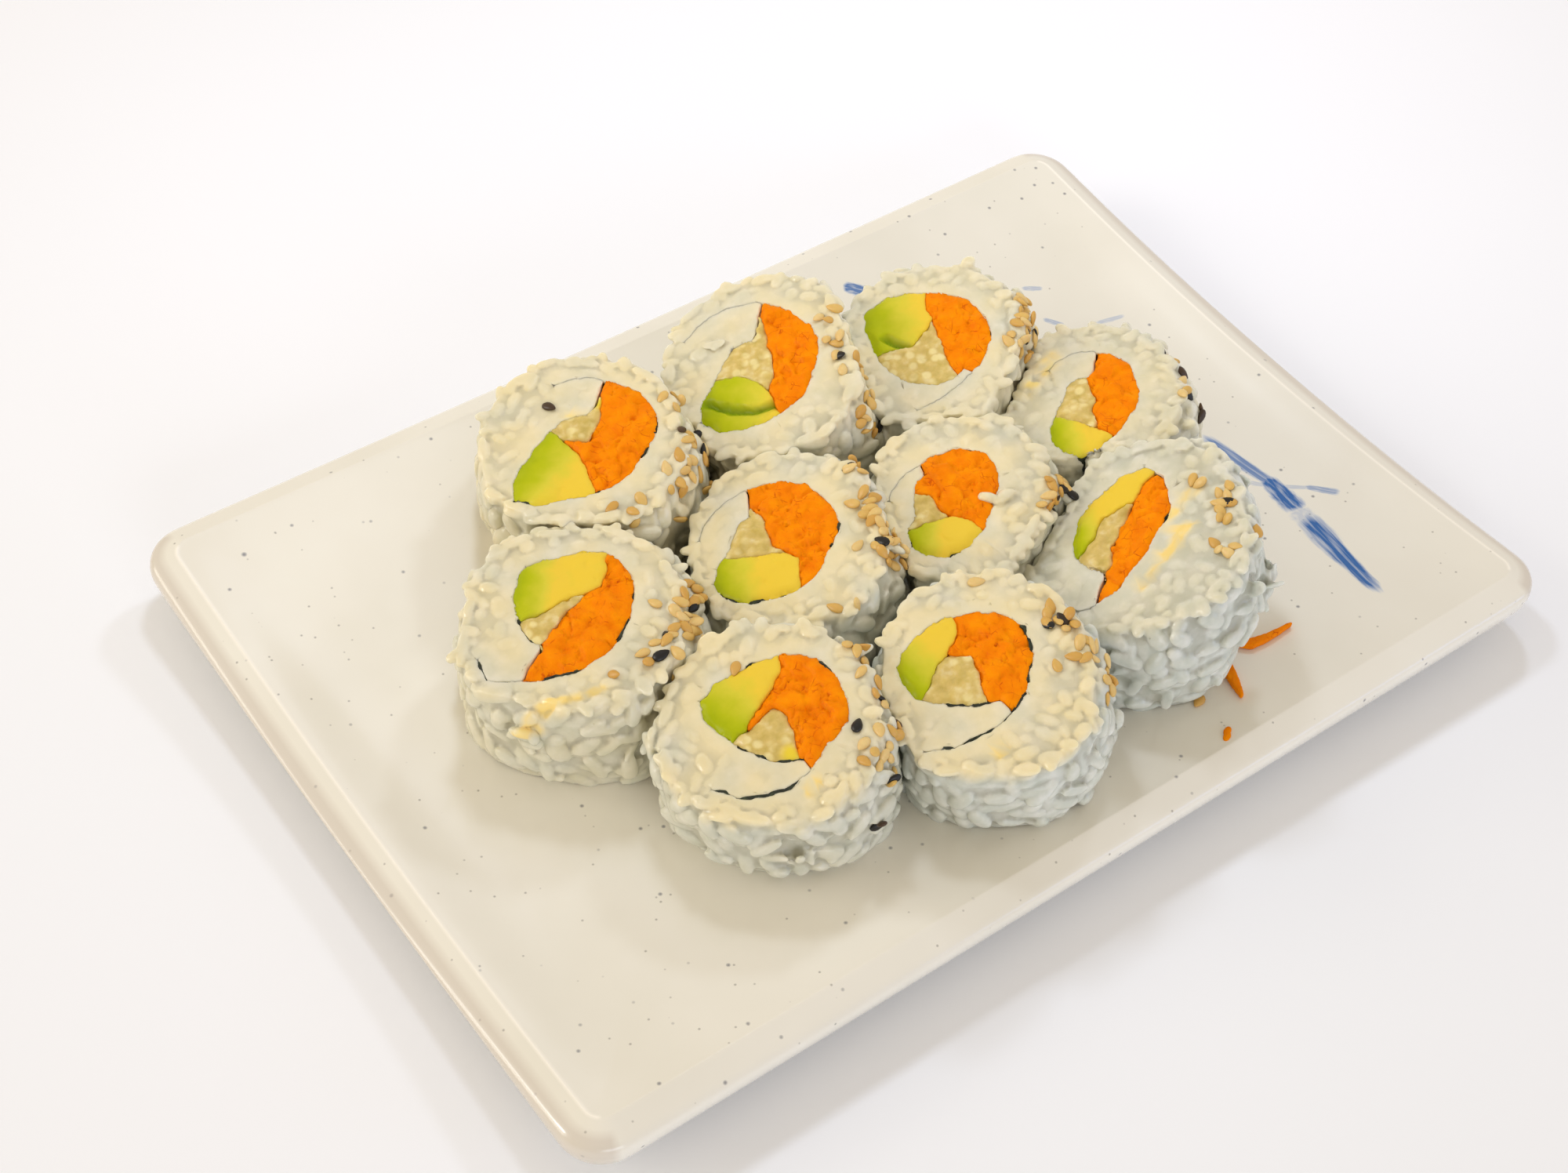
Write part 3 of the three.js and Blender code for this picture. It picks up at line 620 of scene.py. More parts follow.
def reliefAt(layer, place):
    # height in mm of a filling over the knife's plane
    look = fillingLook
    rise, swellSize, swell, pitSize, pit, threshold = look["relief"][layer]
    relief = rise + swell * noise.noise(place / (swellSize * mm))
    relief -= pit * max(0, noise.noise(place / (pitSize * mm)) - threshold)
    if layer == "carrot":
        bendSize, bend = look["shredBend"]
        bent = place + noise.noise_vector(place / bendSize) * bend
        distances, centers = noise.voronoi(bent / look["shred"])
        inside = min((distances[1] - distances[0]) / look["crackWidth"], 1)
        crack = look["crack"] * min(max(noise.noise(place / look["crackPatch"]) * 3 + 0.5, 0), 1)
        relief += look["shredStep"] * (noise.cell(centers[0] * 7.3) - 0.5) - crack * (1 - inside)
    return relief


def makeFilling(name, layer):
    look = fillingLook
    roll = rolls[name]
    normal = np.array(roll["normal"])
    skin = remeshed(meshOf(f"{name}_{layer}_cut", mergedCopy(f"{name}_{layer}")), look["voxel"])
    points = positions(skin) + vertexNormals(skin) * look["grow"]
    above = heightOverFace(roll, points)
    share = np.clip(1 + above / look["reliefDepth"], 0, 1)
    rise = np.zeros(len(points))
    for i in np.nonzero(share > 0)[0]:
        rise[i] = reliefAt(layer, Vector(points[i])) * mm
    points += (rise * share)[:, None] * normal
    fold = np.zeros(len(points))
    if layer == "avocado" and name in avocadoFold:
        fold = foldDepth(points, avocadoFold[name]) * share
        points -= (look["foldDepth"] * fold)[:, None] * normal
    closeOver(name, points, above, treeOf(name + "_nori"))
    wander(roll, points, share)
    setPositions(skin, points)
    if layer == "avocado":
        direction, green = avocadoGreen[name]
        along = points @ np.array(towards(direction))
        along = (along - along.min()) / (along.max() - along.min())
        setAttribute(skin, "skinSide", np.clip((along - 1 + green) / green, 0, 1))
        setAttribute(skin, "fold", fold)
    if layer == "cucumber":
        pulp = np.zeros(len(points))
        if name in cucumberPulp:
            away = np.linalg.norm(points[:, :2] - np.array(cucumberPulp[name]) * mm, axis=1)
            pulp = np.clip(1.5 - away / look["pulp"], 0, 1)
        setAttribute(skin, "pulp", pulp)
    return skin


# Packed shreds of raw carrot: saturated orange, with painted shade in a deep red along the gaps between the
# shreds, in patches.
def makeCarrotMaterial():
    material, add, place = startMaterial("shreddedCarrot")
    drift = add("TexNoise", {"Vector": place, "Scale": 1 / (3 * mm), "Detail": 3})
    flesh = add("ValToRGB", {"Fac": drift}, stops=[(0.3, "#ec7b00"), (0.5, "#f38700"), (0.7, "#f89200")])
    bend = add("VectorMath", {0: drift.node.outputs["Color"], 1: [1.5 * mm] * 3, 2: place},
               operation="MULTIPLY_ADD")
    edges = add("TexVoronoi", {"Vector": bend, "Scale": 1 / (2.6 * mm)}, feature="DISTANCE_TO_EDGE")
    gap = add("MapRange", {"Value": edges, 2: 0.05, 3: 1.0, 4: 0.0})
    fibres = add("TexNoise", {"Vector": place, "Scale": 1 / (0.7 * mm), "Detail": 3})
    patches = add("TexNoise", {"Vector": place, "Scale": 1 / (2.2 * mm), "Detail": 2})
    patchy = add("MapRange", {"Value": patches, 1: 0.5, 2: 0.68, 3: 0.0, 4: 0.75})
    # painted shade: the colour darkens towards a deep red along the cell edges, which stand for the gaps
    # between shreds, in patches
    depth = add("Math", {0: gap, 1: patchy}, operation="MULTIPLY")
    colored = add("Mix", {0: depth, 6: flesh, 7: "#b93404"}, 2, data_type="RGBA")
    return finishMaterial(material, add, (fibres, 0.5, 0.3 * mm), {
        "Base Color": colored, "Roughness": 0.5, "IOR": 1.4, "Specular IOR Level": 0.1,
        "Subsurface Weight": 0.15, "Subsurface Radius": (1.0, 0.35, 0.08), "Subsurface Scale": 1.2 * mm})


# Ripe avocado: buttery flesh, green under the skin and yellow towards the stone.
def makeAvocadoMaterial():
    material, add, place = startMaterial("avocadoFlesh")
    skinSide = add("Attribute", output="Fac", attribute_name="skinSide")
    waves = add("TexNoise", {"Vector": place, "Scale": 1 / (4 * mm), "Detail": 4})
    shift = add("Math", {0: waves, 1: 0.5, 2: -0.25}, operation="MULTIPLY_ADD")
    tone = add("Math", {0: skinSide, 1: shift}, operation="ADD")
    flesh = add("ValToRGB", {"Fac": tone},
                stops=[(0.05, "#e9c83e"), (0.35, "#d3c83a"), (0.7, "#b4ba10"), (0.95, "#a2ae02")])
    fold = add("Attribute", output="Fac", attribute_name="fold")
    colored = add("Mix", {0: fold, 6: flesh, 7: "#7a9608"}, 2, data_type="RGBA")
    return finishMaterial(material, add, (waves, 0.3, 0.4 * mm), {
        "Base Color": colored, "Roughness": 0.36, "IOR": 1.42, "Specular IOR Level": 0.2,
        "Subsurface Weight": 0.12, "Subsurface Radius": (0.8, 0.9, 0.25), "Subsurface Scale": 1.2 * mm})


# Peeled cucumber: watery flesh, pale green-yellow, paler where the seeds lie.
def makeCucumberMaterial():
    material, add, place = startMaterial("cucumberFlesh")
    waves = add("TexNoise", {"Vector": place, "Scale": 1 / (2.2 * mm), "Detail": 3})
    flesh = add("ValToRGB", {"Fac": waves}, stops=[(0.3, "#c3ab5c"), (0.55, "#d6bd72"), (0.75, "#e3d19a")])
    seeds = add("TexVoronoi", {"Vector": place, "Scale": 1 / (2.4 * mm)})
    body = add("MapRange", {"Value": seeds, 1: 0.3, 2: 0.5, 3: 0.7, 4: 0.0})
    pocket = add("TexNoise", {"Vector": place, "Scale": 1 / (6 * mm), "Detail": 1})
    where = add("MapRange", {"Value": pocket, 1: 0.42, 2: 0.55})
    seedy = add("Math", {0: body, 1: where}, operation="MULTIPLY")
    seeded = add("Mix", {0: seedy, 6: flesh, 7: "#eee0a4"}, 2, data_type="RGBA")
    pulp = add("Attribute", output="Fac", attribute_name="pulp")
    colored = add("Mix", {0: pulp, 6: seeded, 7: "#e8cf3c"}, 2, data_type="RGBA")
    return finishMaterial(material, add, (waves, 0.4, 0.4 * mm), {
        "Base Color": colored, "Roughness": 0.22, "IOR": 1.35, "Subsurface Weight": 0.5,
        "Subsurface Radius": (0.9, 0.9, 0.5), "Subsurface Scale": 2 * mm})


# Toasted seaweed gone soft: almost black green, a little glossy where it is wet.
def makeNoriMaterial():
    material, add, place = startMaterial("softNori")
    waves = add("TexNoise", {"Vector": place, "Scale": 1 / (1.2 * mm), "Detail": 3})
    leaf = add("ValToRGB", {"Fac": waves}, stops=[(0.35, "#181d14"), (0.6, "#2b3424"), (0.8, "#3e4a30")])
    return finishMaterial(material, add, (waves, 0.6, 0.2 * mm),
                          {"Base Color": leaf, "Roughness": 0.42, "IOR": 1.45})


noriLook = {
    "rings": (1 * mm, 2.5 * mm),  # how far down it is cut round, for the shape of its edge
    "cuts": 5,
    "torn": 1.2 * mm,    # so far down from the cut face its edge is cut up
    "edge": 1.5 * mm,    # longest edge there
    "reach": 2.5 * mm,   # waves and drop fade out this far down
    "wave": 0.25 * mm, "waveSize": 1.1 * mm,
    "drop": 0.1 * mm,    # how low its edge lies
    "covered": 2 * mm,   # and how much lower where it is well covered
    "wellCovered": 0.65,
}


def makeNori(name):
    # the edge at the cut face gets short faces, then it is torn and wavy
    look = noriLook
    roll = rolls[name]
    shape = mergedCopy(name + "_nori")
    for depth in look["rings"]:
        level = roll["middle"] - roll["normal"] * depth
        bmesh.ops.bisect_plane(shape, geom=shape.verts[:] + shape.edges[:] + shape.faces[:],
                               dist=0.001 * mm, plane_co=level, plane_no=roll["normal"])
    edges = [edge for edge in shape.edges if edge.calc_length() > look["edge"]
             and all(overFace(roll, vertex.co) > -look["torn"] for vertex in edge.verts)]
    bmesh.ops.subdivide_edges(shape, edges=edges, cuts=look["cuts"], use_grid_fill=True)
    for vertex in shape.verts:
        share = min(max(1 + overFace(roll, vertex.co) / look["reach"], 0), 1)
        wave = look["wave"] * noise.noise(vertex.co / look["waveSize"])
        drop = look["drop"] + look["covered"] * max(0, noriCover(name, vertex.co) - look["wellCovered"])
        vertex.co += roll["normal"] * (wave - drop) * share
    points = np.array([vertex.co for vertex in shape.verts])
    wander(roll, points, np.clip(1 + heightOverFace(roll, points) / fillingLook["reliefDepth"], 0, 1))
    for vertex, point in zip(shape.verts, points):
        vertex.co = point
    bmesh.ops.triangulate(shape, faces=shape.faces)
    return meshOf(name + "_nori_leaf", shape)


fillingMaterials = {"carrot": makeCarrotMaterial(), "avocado": makeAvocadoMaterial(),
                    "cucumber": makeCucumberMaterial()}
noriMaterial = makeNoriMaterial()

for rollName in rollNames:
    for layer, layerMaterial in fillingMaterials.items():
        fillingMesh = makeFilling(rollName, layer)
        filling = objectFrom(f"{rollName}_{layer}_cut", fillingMesh, layerMaterial)
        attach(filling, "root")
        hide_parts(f"{rollName}_{layer}")
    nori = objectFrom(rollName + "_nori_leaf", makeNori(rollName), noriMaterial)
    nori.data.polygons.foreach_set("use_smooth", [False] * len(nori.data.polygons))
    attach(nori, "root")
    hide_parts(rollName + "_nori")
print("fillings and nori done")


plateLook = {
    "corner": 9,           # radius of the corners seen from above, in mm as all of these
    "crestInset": 5.5,
    "endCrease": 0.95,     # the short sides keep a crisp crest, the long ones roll over softly
    "footCrease": 0.5,
    "endShadeInset": (-1, 3),  # outside the crest of a short side, where its outer slope gets painted shade
    "endShadeShare": 0.6,
    "end": 7,              # a short side's rim, in from the outline
    "trough": (4.2, 2.0),  # how low the dish lies at a short side, and how much lower in the middle
    "troughRun": 13,       # over which it gets there
    "crestSag": 0.6,       # how much lower the crest is at the middle of a long side
    # iron specks: size, spacing, the share of the places that have one, and colour
    "specks": [(0.5, 4.4, 0.4, "#6f7078"), (0.65, 11.0, 0.35, "#5c6070"), (0.32, 2.6, 0.3, "#9a958c")],
    "levels": 2,
}
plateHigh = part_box("plate")[1]
plateHalf = (plateHigh[0] / mm, plateHigh[1] / mm)
rimHeight = plateHigh[2] / mm


def dishHeight(x, y):
    # upper face of the plate in mm: a shallow trough along its length, with raised corners
    look = plateLook
    crest = (plateHalf[0] - look["crestInset"], plateHalf[1] - look["crestInset"])
    along = min(abs(x) / crest[0], 1)
    across = min(abs(y) / crest[1], 1)
    fromEnd = min(max((crest[0] - abs(x)) / look["troughRun"], 0), 1)
    trough = look["trough"][0] + look["trough"][1] * fromEnd ** 2 * (3 - 2 * fromEnd)
    return rimHeight - look["crestSag"] * (1 - along ** 2) - trough * (1 - across ** 2)


# The brushwork is a stalk of bamboo in blue under the glaze: where each stroke starts and ends on
# the plate in mm, its width in mm, how much narrower it gets along its run, and how strong it is.
brushStrokes = [
    ((85.9, -8.5), (88.7, -28.5), 3.5, 0.1, 0.85),
    ((88.6, -24.5), (87.4, -36.2), 5, -0.3, 1.0),
    ((87.4, -35.6), (86.8, -39.6), 5.4, 0, 0.35),
    ((87.2, -37.4), (83.2, -63), 4.7, 0.45, 1.0),
    ((88.3, -28), (94, -32.6), 1.3, 0, 0.4),
    ((93.2, -31.6), (97.9, -37.4), 1.9, -0.3, 0.65),
    ((83.1, -22.2), (88, -28), 1.4, 0, 0.35),
    ((46.1, 65.4), (50.2, 61.4), 3.4, 0, 0.9),
    ((80.8, 45.6), (85, 43.2), 1.5, 0, 0.45),
    ((79.2, 36.2), (82.2, 32.3), 1.5, 0, 0.5),
    ((88.6, 29.2), (95.7, 27.6), 1.3, 0, 0.4),
]


def brushMask(add, place, start, end, width, taper, strength):
    # one stroke: a long blot that fades at both ends, streaked along its length
    start, end = Vector(start) * mm, Vector(end) * mm
    middle = (start + end) / 2
    run = end - start
    turned = add("Mapping", {"Vector": place, "Location": (*middle, 0),
                             "Rotation": (0, 0, math.atan2(run.y, run.x)),
                             "Scale": (run.length / 2, width * mm / 2, 1)}, vector_type="TEXTURE")
    wobble = add("TexNoise", {"Vector": turned, "Scale": 1.6, "Detail": 3}, "Color")
    bend = add("VectorMath", {0: wobble, 1: (0.5, 0.5, 0.5)}, operation="SUBTRACT")
    bent = add("VectorMath", {0: bend, 1: (0.25, 1.0, 0), 2: turned}, operation="MULTIPLY_ADD")
    along, side, _ = add("SeparateXYZ", {"Vector": bent}).node.outputs
    narrow = add("Math", {0: along, 1: taper, 2: 1.0}, operation="MULTIPLY_ADD")
    across = add("Math", {0: side, 1: narrow}, operation="MULTIPLY")
    endFade = add("Math", {0: along, 1: 4.0}, operation="POWER")
    sideFade = add("Math", {0: across, 1: 2.0}, operation="POWER")
    total = add("Math", {0: endFade, 1: sideFade}, operation="ADD")
    mask = add("MapRange", {"Value": total, 1: 0.4, 2: 1.15, 3: strength, 4: 0.0})
    hairs = add("VectorMath", {0: turned, 1: (0.9, 2.4, 0)}, operation="MULTIPLY")
    streaks = add("TexNoise", {"Vector": hairs, "Scale": 1.0, "Detail": 3})
    load = add("MapRange", {"Value": streaks, 1: 0.34, 2: 0.52, 3: 0.5, 4: 1.0})
    return add("Math", {0: mask, 1: load}, operation="MULTIPLY")


# Stoneware under a cream glaze: glossy, flecked with iron specks, with cobalt brushwork, a painted highlight
# along the crest of the short sides and painted shade on their outer slope.
def makeGlazeMaterial():
    material, add, place = startMaterial("creamGlaze")
    clouds = add("TexNoise", {"Vector": place, "Scale": 1 / (35 * mm), "Detail": 3})
    color = add("ValToRGB", {"Fac": clouds}, stops=[(0.3, "#e5e1d3"), (0.5, "#e9e5d8"), (0.75, "#ece9dd")])
    for size, spacing, share, tint in plateLook["specks"]:
        cells = add("TexVoronoi", {"Vector": place, "Scale": 1 / (spacing * mm)})
        tone = add("SeparateColor", {"Color": cells.node.outputs["Color"]})
        dot = add("MapRange", {"Value": cells, 1: 0.35 * size / spacing, 2: size / spacing, 3: 0.75, 4: 0.0})
        few = add("Math", {0: tone, 1: share}, operation="LESS_THAN")
        speck = add("Math", {0: dot, 1: few}, operation="MULTIPLY")
        color = add("Mix", {0: speck, 6: color, 7: tint}, 2, data_type="RGBA")
    ink = 0.0
    for stroke in brushStrokes:
        ink = add("Math", {0: ink, 1: brushMask(add, place, *stroke)}, operation="MAXIMUM")
    height = add("SeparateXYZ", {"Vector": place}, "Z")
    onTop = add("MapRange", {"Value": height, 1: 5 * mm, 2: 7 * mm})
    painted = add("Math", {0: ink, 1: onTop}, operation="MULTIPLY")
    cobalt = add("ValToRGB", {"Fac": painted}, stops=[(0, "#93b2dc"), (0.5, "#3f7abd"), (1, "#1b60a6")])
    color = add("Mix", {0: painted, 6: color, 7: cobalt}, 2, data_type="RGBA")
    # painted highlight: a near-white line along the short sides' crest; painted shade: their outer slope is
    # darkened
    for layer, tint in (("paintedCrestHighlight", "#fbf6ea"), ("paintedEndShade", "#cbc0b2")):
        share = add("Attribute", output="Fac", attribute_name=layer)
        color = add("Mix", {0: share, 6: color, 7: tint}, 2, data_type="RGBA")
    ripple = add("TexNoise", {"Vector": place, "Scale": 1 / (9 * mm), "Detail": 2})
    return finishMaterial(material, add, (ripple, 0.12, 0.5 * mm), {
        "Base Color": color, "Roughness": 0.22, "IOR": 1.5, "Coat Weight": 0.3, "Coat Roughness": 0.12})


# Section of the plate from under its middle round the rim to the middle of the dish: the inset from
# its outline in mm, and the height as a share of the crest's plus a number, or None for the dish.
plateSection = [
    (78, 0, 2.5), (60, 0, 2.5), (42, 0, 2.5), (41, 0, 0), (36, 0, 0), (34, 0, 3.2), (20, 0, 4.2),
    (5, 0, 5.4), (1.2, 0, 6.4), (0.1, 0.45, 3.2), (-0.12, 0.7, 1.3), (0.4, 1, -1.8), (1.8, 1, -1.27),
    (3.6, 1, -0.6), (5.1, 1, -0.05), (5.5, 1, 0.06), (5.9, None, 0), (7.5, None, 0), (10, None, 0),
    (14, None, 0), (20, None, 0), (29, None, 0), (40, None, 0), (54, None, 0), (68, None, 0),
    (79.4, None, 0),
]
footRings = (3, 4)    # the rows of the section under the foot
sideSteps = (24, 16)  # steps along a long and a short side
cornerSteps = 8


def outlinePoint(step, inset):
    # a point of the rounded rectangle that lies this far inside the plate's outline
    radius = max(plateLook["corner"] - inset, 0.4)
    half = Vector((plateHalf[0] - inset - radius, plateHalf[1] - inset - radius))
    centers = [half * Vector(sign) for sign in ((1, 1), (-1, 1), (-1, -1), (1, -1))]
    for corner in range(4):
        steps = sideSteps[corner % 2]
        if step < cornerSteps:
            angle = (corner + step / cornerSteps) * math.pi / 2
            return centers[corner] + radius * Vector((math.cos(angle), math.sin(angle)))
        step -= cornerSteps
        if step < steps:
            angle = (corner + 1) * math.pi / 2
            along = centers[corner].lerp(centers[(corner + 1) % 4], step / steps)
            return along + radius * Vector((math.cos(angle), math.sin(angle)))
        step -= steps


def atEnd(vertex):
    return abs(vertex.co.x) > (plateHalf[0] - plateLook["end"]) * mm


def makePlate():
    # one ring of edges is pulled along the section, then both ends are closed
    look = plateLook
    steps = 4 * cornerSteps + 2 * sum(sideSteps)
    shape = bmesh.new()
    stepOf = shape.verts.layers.int.new("step")
    crease = shape.edges.layers.float.new("crease_edge")
    # the thin layer holds the painted highlight along the short sides' crest
    thin = shape.verts.layers.float.new("paintedCrestHighlight")
    # painted shade on the outer slope of the short sides
    endShade = shape.verts.layers.float.new("paintedEndShade")
    ring = bmesh.ops.create_circle(shape, segments=steps, radius=1)["verts"]
    for step, vertex in enumerate(ring):
        vertex[stepOf] = step
    edges = shape.edges[:]
    for index, (inset, share, extra) in enumerate(plateSection):
        if index:
            ring = [e for e in bmesh.ops.extrude_edge_only(shape, edges=edges)["geom"]
                    if isinstance(e, bmesh.types.BMVert)]
            edges = [e for e in shape.edges if all(v in set(ring) for v in e.verts)]
        for edge in edges:
            edge[crease] = 0
        for vertex in ring:
            vertex[thin] = 0
            vertex[endShade] = 0
            x, y = outlinePoint(vertex[stepOf], inset)
            crest = dishHeight(*outlinePoint(vertex[stepOf], look["crestInset"]))
            vertex.co = Vector((x, y, dishHeight(x, y) if share is None else crest * share + extra)) * mm
        if inset == look["crestInset"]:
            for edge in edges:
                if all(atEnd(vertex) for vertex in edge.verts):
                    edge[crease] = look["endCrease"]
                    # these crest vertices carry the painted highlight
                    for vertex in edge.verts:
                        vertex[thin] = 1
        if index in footRings:
            for edge in edges:
                edge[crease] = look["footCrease"]
        # the short sides' outer slope gets its painted shade here
        if look["endShadeInset"][0] < inset < look["endShadeInset"][1]:
            for vertex in ring:
                vertex[endShade] = look["endShadeShare"] * atEnd(vertex)
    bmesh.ops.holes_fill(shape, edges=shape.edges, sides=0)
    bmesh.ops.recalc_face_normals(shape, faces=shape.faces)
    piece = objectFrom("glazed_plate", meshOf("glazed_plate", shape), makeGlazeMaterial())
    smooth = piece.modifiers.new("smooth", "SUBSURF")
    smooth.levels = smooth.render_levels = look["levels"]
    return piece


plate = makePlate()
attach(plate, "root")
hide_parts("plate")
print("plate done")


sesameLook = {
    "size": (3.3 * mm, 2.0 * mm, 1.1 * mm),
    "sizes": (0.88, 1.1),  # how far single seeds differ
    "tilt": 0.3,
    "spacing": 1.5 * mm,
    "lift": 0.25 * mm,
    "fallenLift": 0.45,    # in mm, on the plate
    "tries": 12,           # for each seed of a cluster
    "offRice": 0.6 * mm,   # seeds stay this far from the next piece
    "offEdge": 1.2 * mm,   # where a place of 0 lies, in from the flank
    "round": 0.5 * mm,     # of the shoulder
    "lean": 0.35,          # outwards, of the seeds on the cut face
    "radiusAt": 6 * mm,    # a piece's radius is felt this far down
    "usualRadius": 21 * mm,
    "feeler": 12 * mm,
    "seed": 21,
}

# Seeds keep to the shoulder of each piece. A cluster has a range of angles from the middle of the
# piece (0 along +X), a range along its profile in mm (below 0 inwards over the cut face, above 0
# down the flank), and how many pale and black seeds it holds.
sesameClusters = {
    "back_left": [(-72, -28, -3, 3, 13, 1), (-48, -20, 3, 12, 7, 2), (-108, -84, -4, 0, 4, 0),
                  (-12, 6, -2, 3, 4, 0), (-73, -68, 6, 8, 1, 0), (94, 96, -11, -10, 0, 1)],
    "back": [(-60, 4, -3, 2, 8, 1), (-62, -10, 2, 8, 8, 0), (-78, -62, 0, 6, 6, 0),
             (-72, -58, 9, 14, 2, 1), (6, 8, -5, -4, 1, 0)],
    "back_right": [(-50, -2, -2, 3, 20, 1), (-48, -20, 3, 7, 6, 1)],
    "right_back": [(-20, 6, -1, 3, 2, 2), (-52, -20, -2, 3, 3, 1), (-40, -24, 5, 10, 0, 2)],
    "middle_left": [(-20, 22, -2, 2, 9, 1), (-60, -24, -3, 2, 14, 1), (-58, -26, 2, 8, 9, 1),
                    (-10, -8, -4, -3, 1, 0), (-56, -52, -7, -6, 1, 0), (-120, -70, -2, 0, 2, 0)],
    "middle": [(-56, -28, -2, 2, 7, 1), (-50, -20, 1, 5, 4, 3), (-62, -56, 9, 11, 1, 0)],
    "right": [(-2, 10, -8, -6, 2, 0), (-30, -16, -5, -2, 7, 1), (-46, -32, -5, -3, 3, 0),
              (-76, -64, -6, 0, 4, 0), (-48, -44, 2, 4, 1, 0)],
    "front_left": [(-48, -22, -4, 2, 11, 0), (-36, -10, 1, 5, 5, 1), (-78, -50, -5, 0, 6, 2),
                   (-68, -40, 3, 9, 7, 0), (-100, -98, -6, -5, 1, 0), (-27, -23, -7, -6, 1, 0)],
    "front": [(-24, 14, -1, 3, 9, 1), (-44, -20, 1, 5, 5, 1), (-68, -44, -4, 2, 7, 0),
              (-68, -50, 3, 8, 3, 1), (84, 88, -10, -9, 1, 0), (-50, -44, -6, -5, 0, 1),
              (-84, -74, 10, 12, 0, 2)],
    "front_right": [(-8, 16, -6, -1, 7, 2), (-32, -14, -5, 2, 7, 0), (-50, -26, 1, 5, 8, 0),
                    (-37, -35, -9, -8, 1, 0), (57, 59, -2, -1, 1, 0)],
}

# seeds that fell on the plate, in mm, and their direction in degrees
fallenSeeds = [(34.2, -63.1, 20)]


seedBody = bmesh.new()
bmesh.ops.create_uvsphere(seedBody, u_segments=10, v_segments=7, radius=0.5)
for vertex in seedBody.verts:
    # a drop: round at one end and pointed at the other
    along = vertex.co.z * 2
    narrow = 1 - 0.3 * along - 0.12 * along ** 2
    vertex.co = Vector((along / 2, vertex.co.y * narrow, vertex.co.x * narrow))
bmesh.ops.recalc_face_normals(seedBody, faces=seedBody.faces)
bmesh.ops.triangulate(seedBody, faces=seedBody.faces)


def seedMatrix(place, normal, angle, draw):
    tilt = draw.gauss(0, sesameLook["tilt"])
    scale = draw.uniform(*sesameLook["sizes"])
    return lyingOn(place, normal, angle, tilt, [length * scale for length in sesameLook["size"]])


depsgraph = bpy.context.evaluated_depsgraph_get()
riceTrees = {name: BVHTree.FromObject(piece, depsgraph) for name, piece in ricePieces.items()}


def outerRadius(name, direction):
    look = sesameLook
    roll = rolls[name]
    start = roll["middle"] - roll["normal"] * look["radiusAt"] + direction * outside
    hit = riceTrees[name].ray_cast(start, -direction)
    return outside - hit[3] if hit[0] else look["usualRadius"]


def seedPlace(name, angle, along):
    # over the cut face, round the shoulder or down the flank
    look = sesameLook
    middle, normal = rolls[name]["middle"], rolls[name]["normal"]
    direction = towards(angle)
    direction = (direction - normal * direction.dot(normal)).normalized()
    radius = outerRadius(name, direction)
    if along < 0:
        target = middle + direction * (radius - look["offEdge"] + along * mm)
        outwards = (normal + direction * look["lean"]).normalized()
    else:
        target = middle + direction * (radius - look["round"]) - normal * (along * mm + look["round"])
        outwards = (direction + normal * max(0.1, 0.9 - along / 6)).normalized()
    hit = riceTrees[name].ray_cast(target + outwards * look["feeler"], -outwards, 20 * mm)
    if not hit[0]:
        return None
    for other, tree in riceTrees.items():
        if other != name and tree.find_nearest(hit[0], look["offRice"])[0]:
            return None
    return hit[0], hit[1]


def makeSesame(kind, column):
    look = sesameLook
    draw = random.Random(look["seed"] + column)
    placed, seeds = [], []
    for name, clusters in sesameClusters.items():
        for fromAngle, toAngle, fromAlong, toAlong, *counts in clusters:
            wanted = counts[column]
            for _ in range(wanted * look["tries"]):
                if not wanted:
                    break
                angle = draw.uniform(fromAngle, toAngle)
                spot = seedPlace(name, angle, draw.uniform(fromAlong, toAlong))
                if spot is None or any((spot[0] - p).length < look["spacing"] for p in placed):
                    continue
                seeds.append(seedMatrix(spot[0] + spot[1] * look["lift"], spot[1],
                                        draw.uniform(0, 2 * math.pi), draw))
                placed.append(spot[0])
                wanted -= 1
    if column == 0:
        for x, y, angle in fallenSeeds:
            place = Vector((x, y, dishHeight(x, y) + look["fallenLift"])) * mm
            seeds.append(seedMatrix(place, Vector((0, 0, 1)), math.radians(angle), draw))
    points, faces = repeated(seedBody, seeds)
    mesh = joinedMesh(kind, bmesh.new(), points, faces)
    setAttribute(mesh, "tone", np.repeat([draw.random() for _ in seeds], len(seedBody.verts)))
    print(kind, len(seeds))
    return mesh


# Toasted sesame: a smooth husk, straw to light brown from seed to seed.
def makePaleSesameMaterial():
    material, add, place = startMaterial("toastedSesame")
    tone = add("Attribute", output="Fac", attribute_name="tone")
    husk = add("ValToRGB", {"Fac": tone}, stops=[(0, "#cc9c4a"), (0.45, "#dcb869"), (1, "#e9cf90")])
    blotch = add("TexNoise", {"Vector": place, "Scale": 1 / (0.8 * mm), "Detail": 2})
    darker = add("Mix", {0: blotch, 6: husk, 7: "#bd8c38"}, 2, data_type="RGBA")
    mixed = add("Mix", {0: 0.35, 6: husk, 7: darker}, 2, data_type="RGBA")
    return finishMaterial(material, add, (blotch, 0.3, 0.1 * mm), {
        "Base Color": mixed, "Roughness": 0.38, "IOR": 1.46, "Subsurface Weight": 0.1,
        "Subsurface Scale": 0.5 * mm})


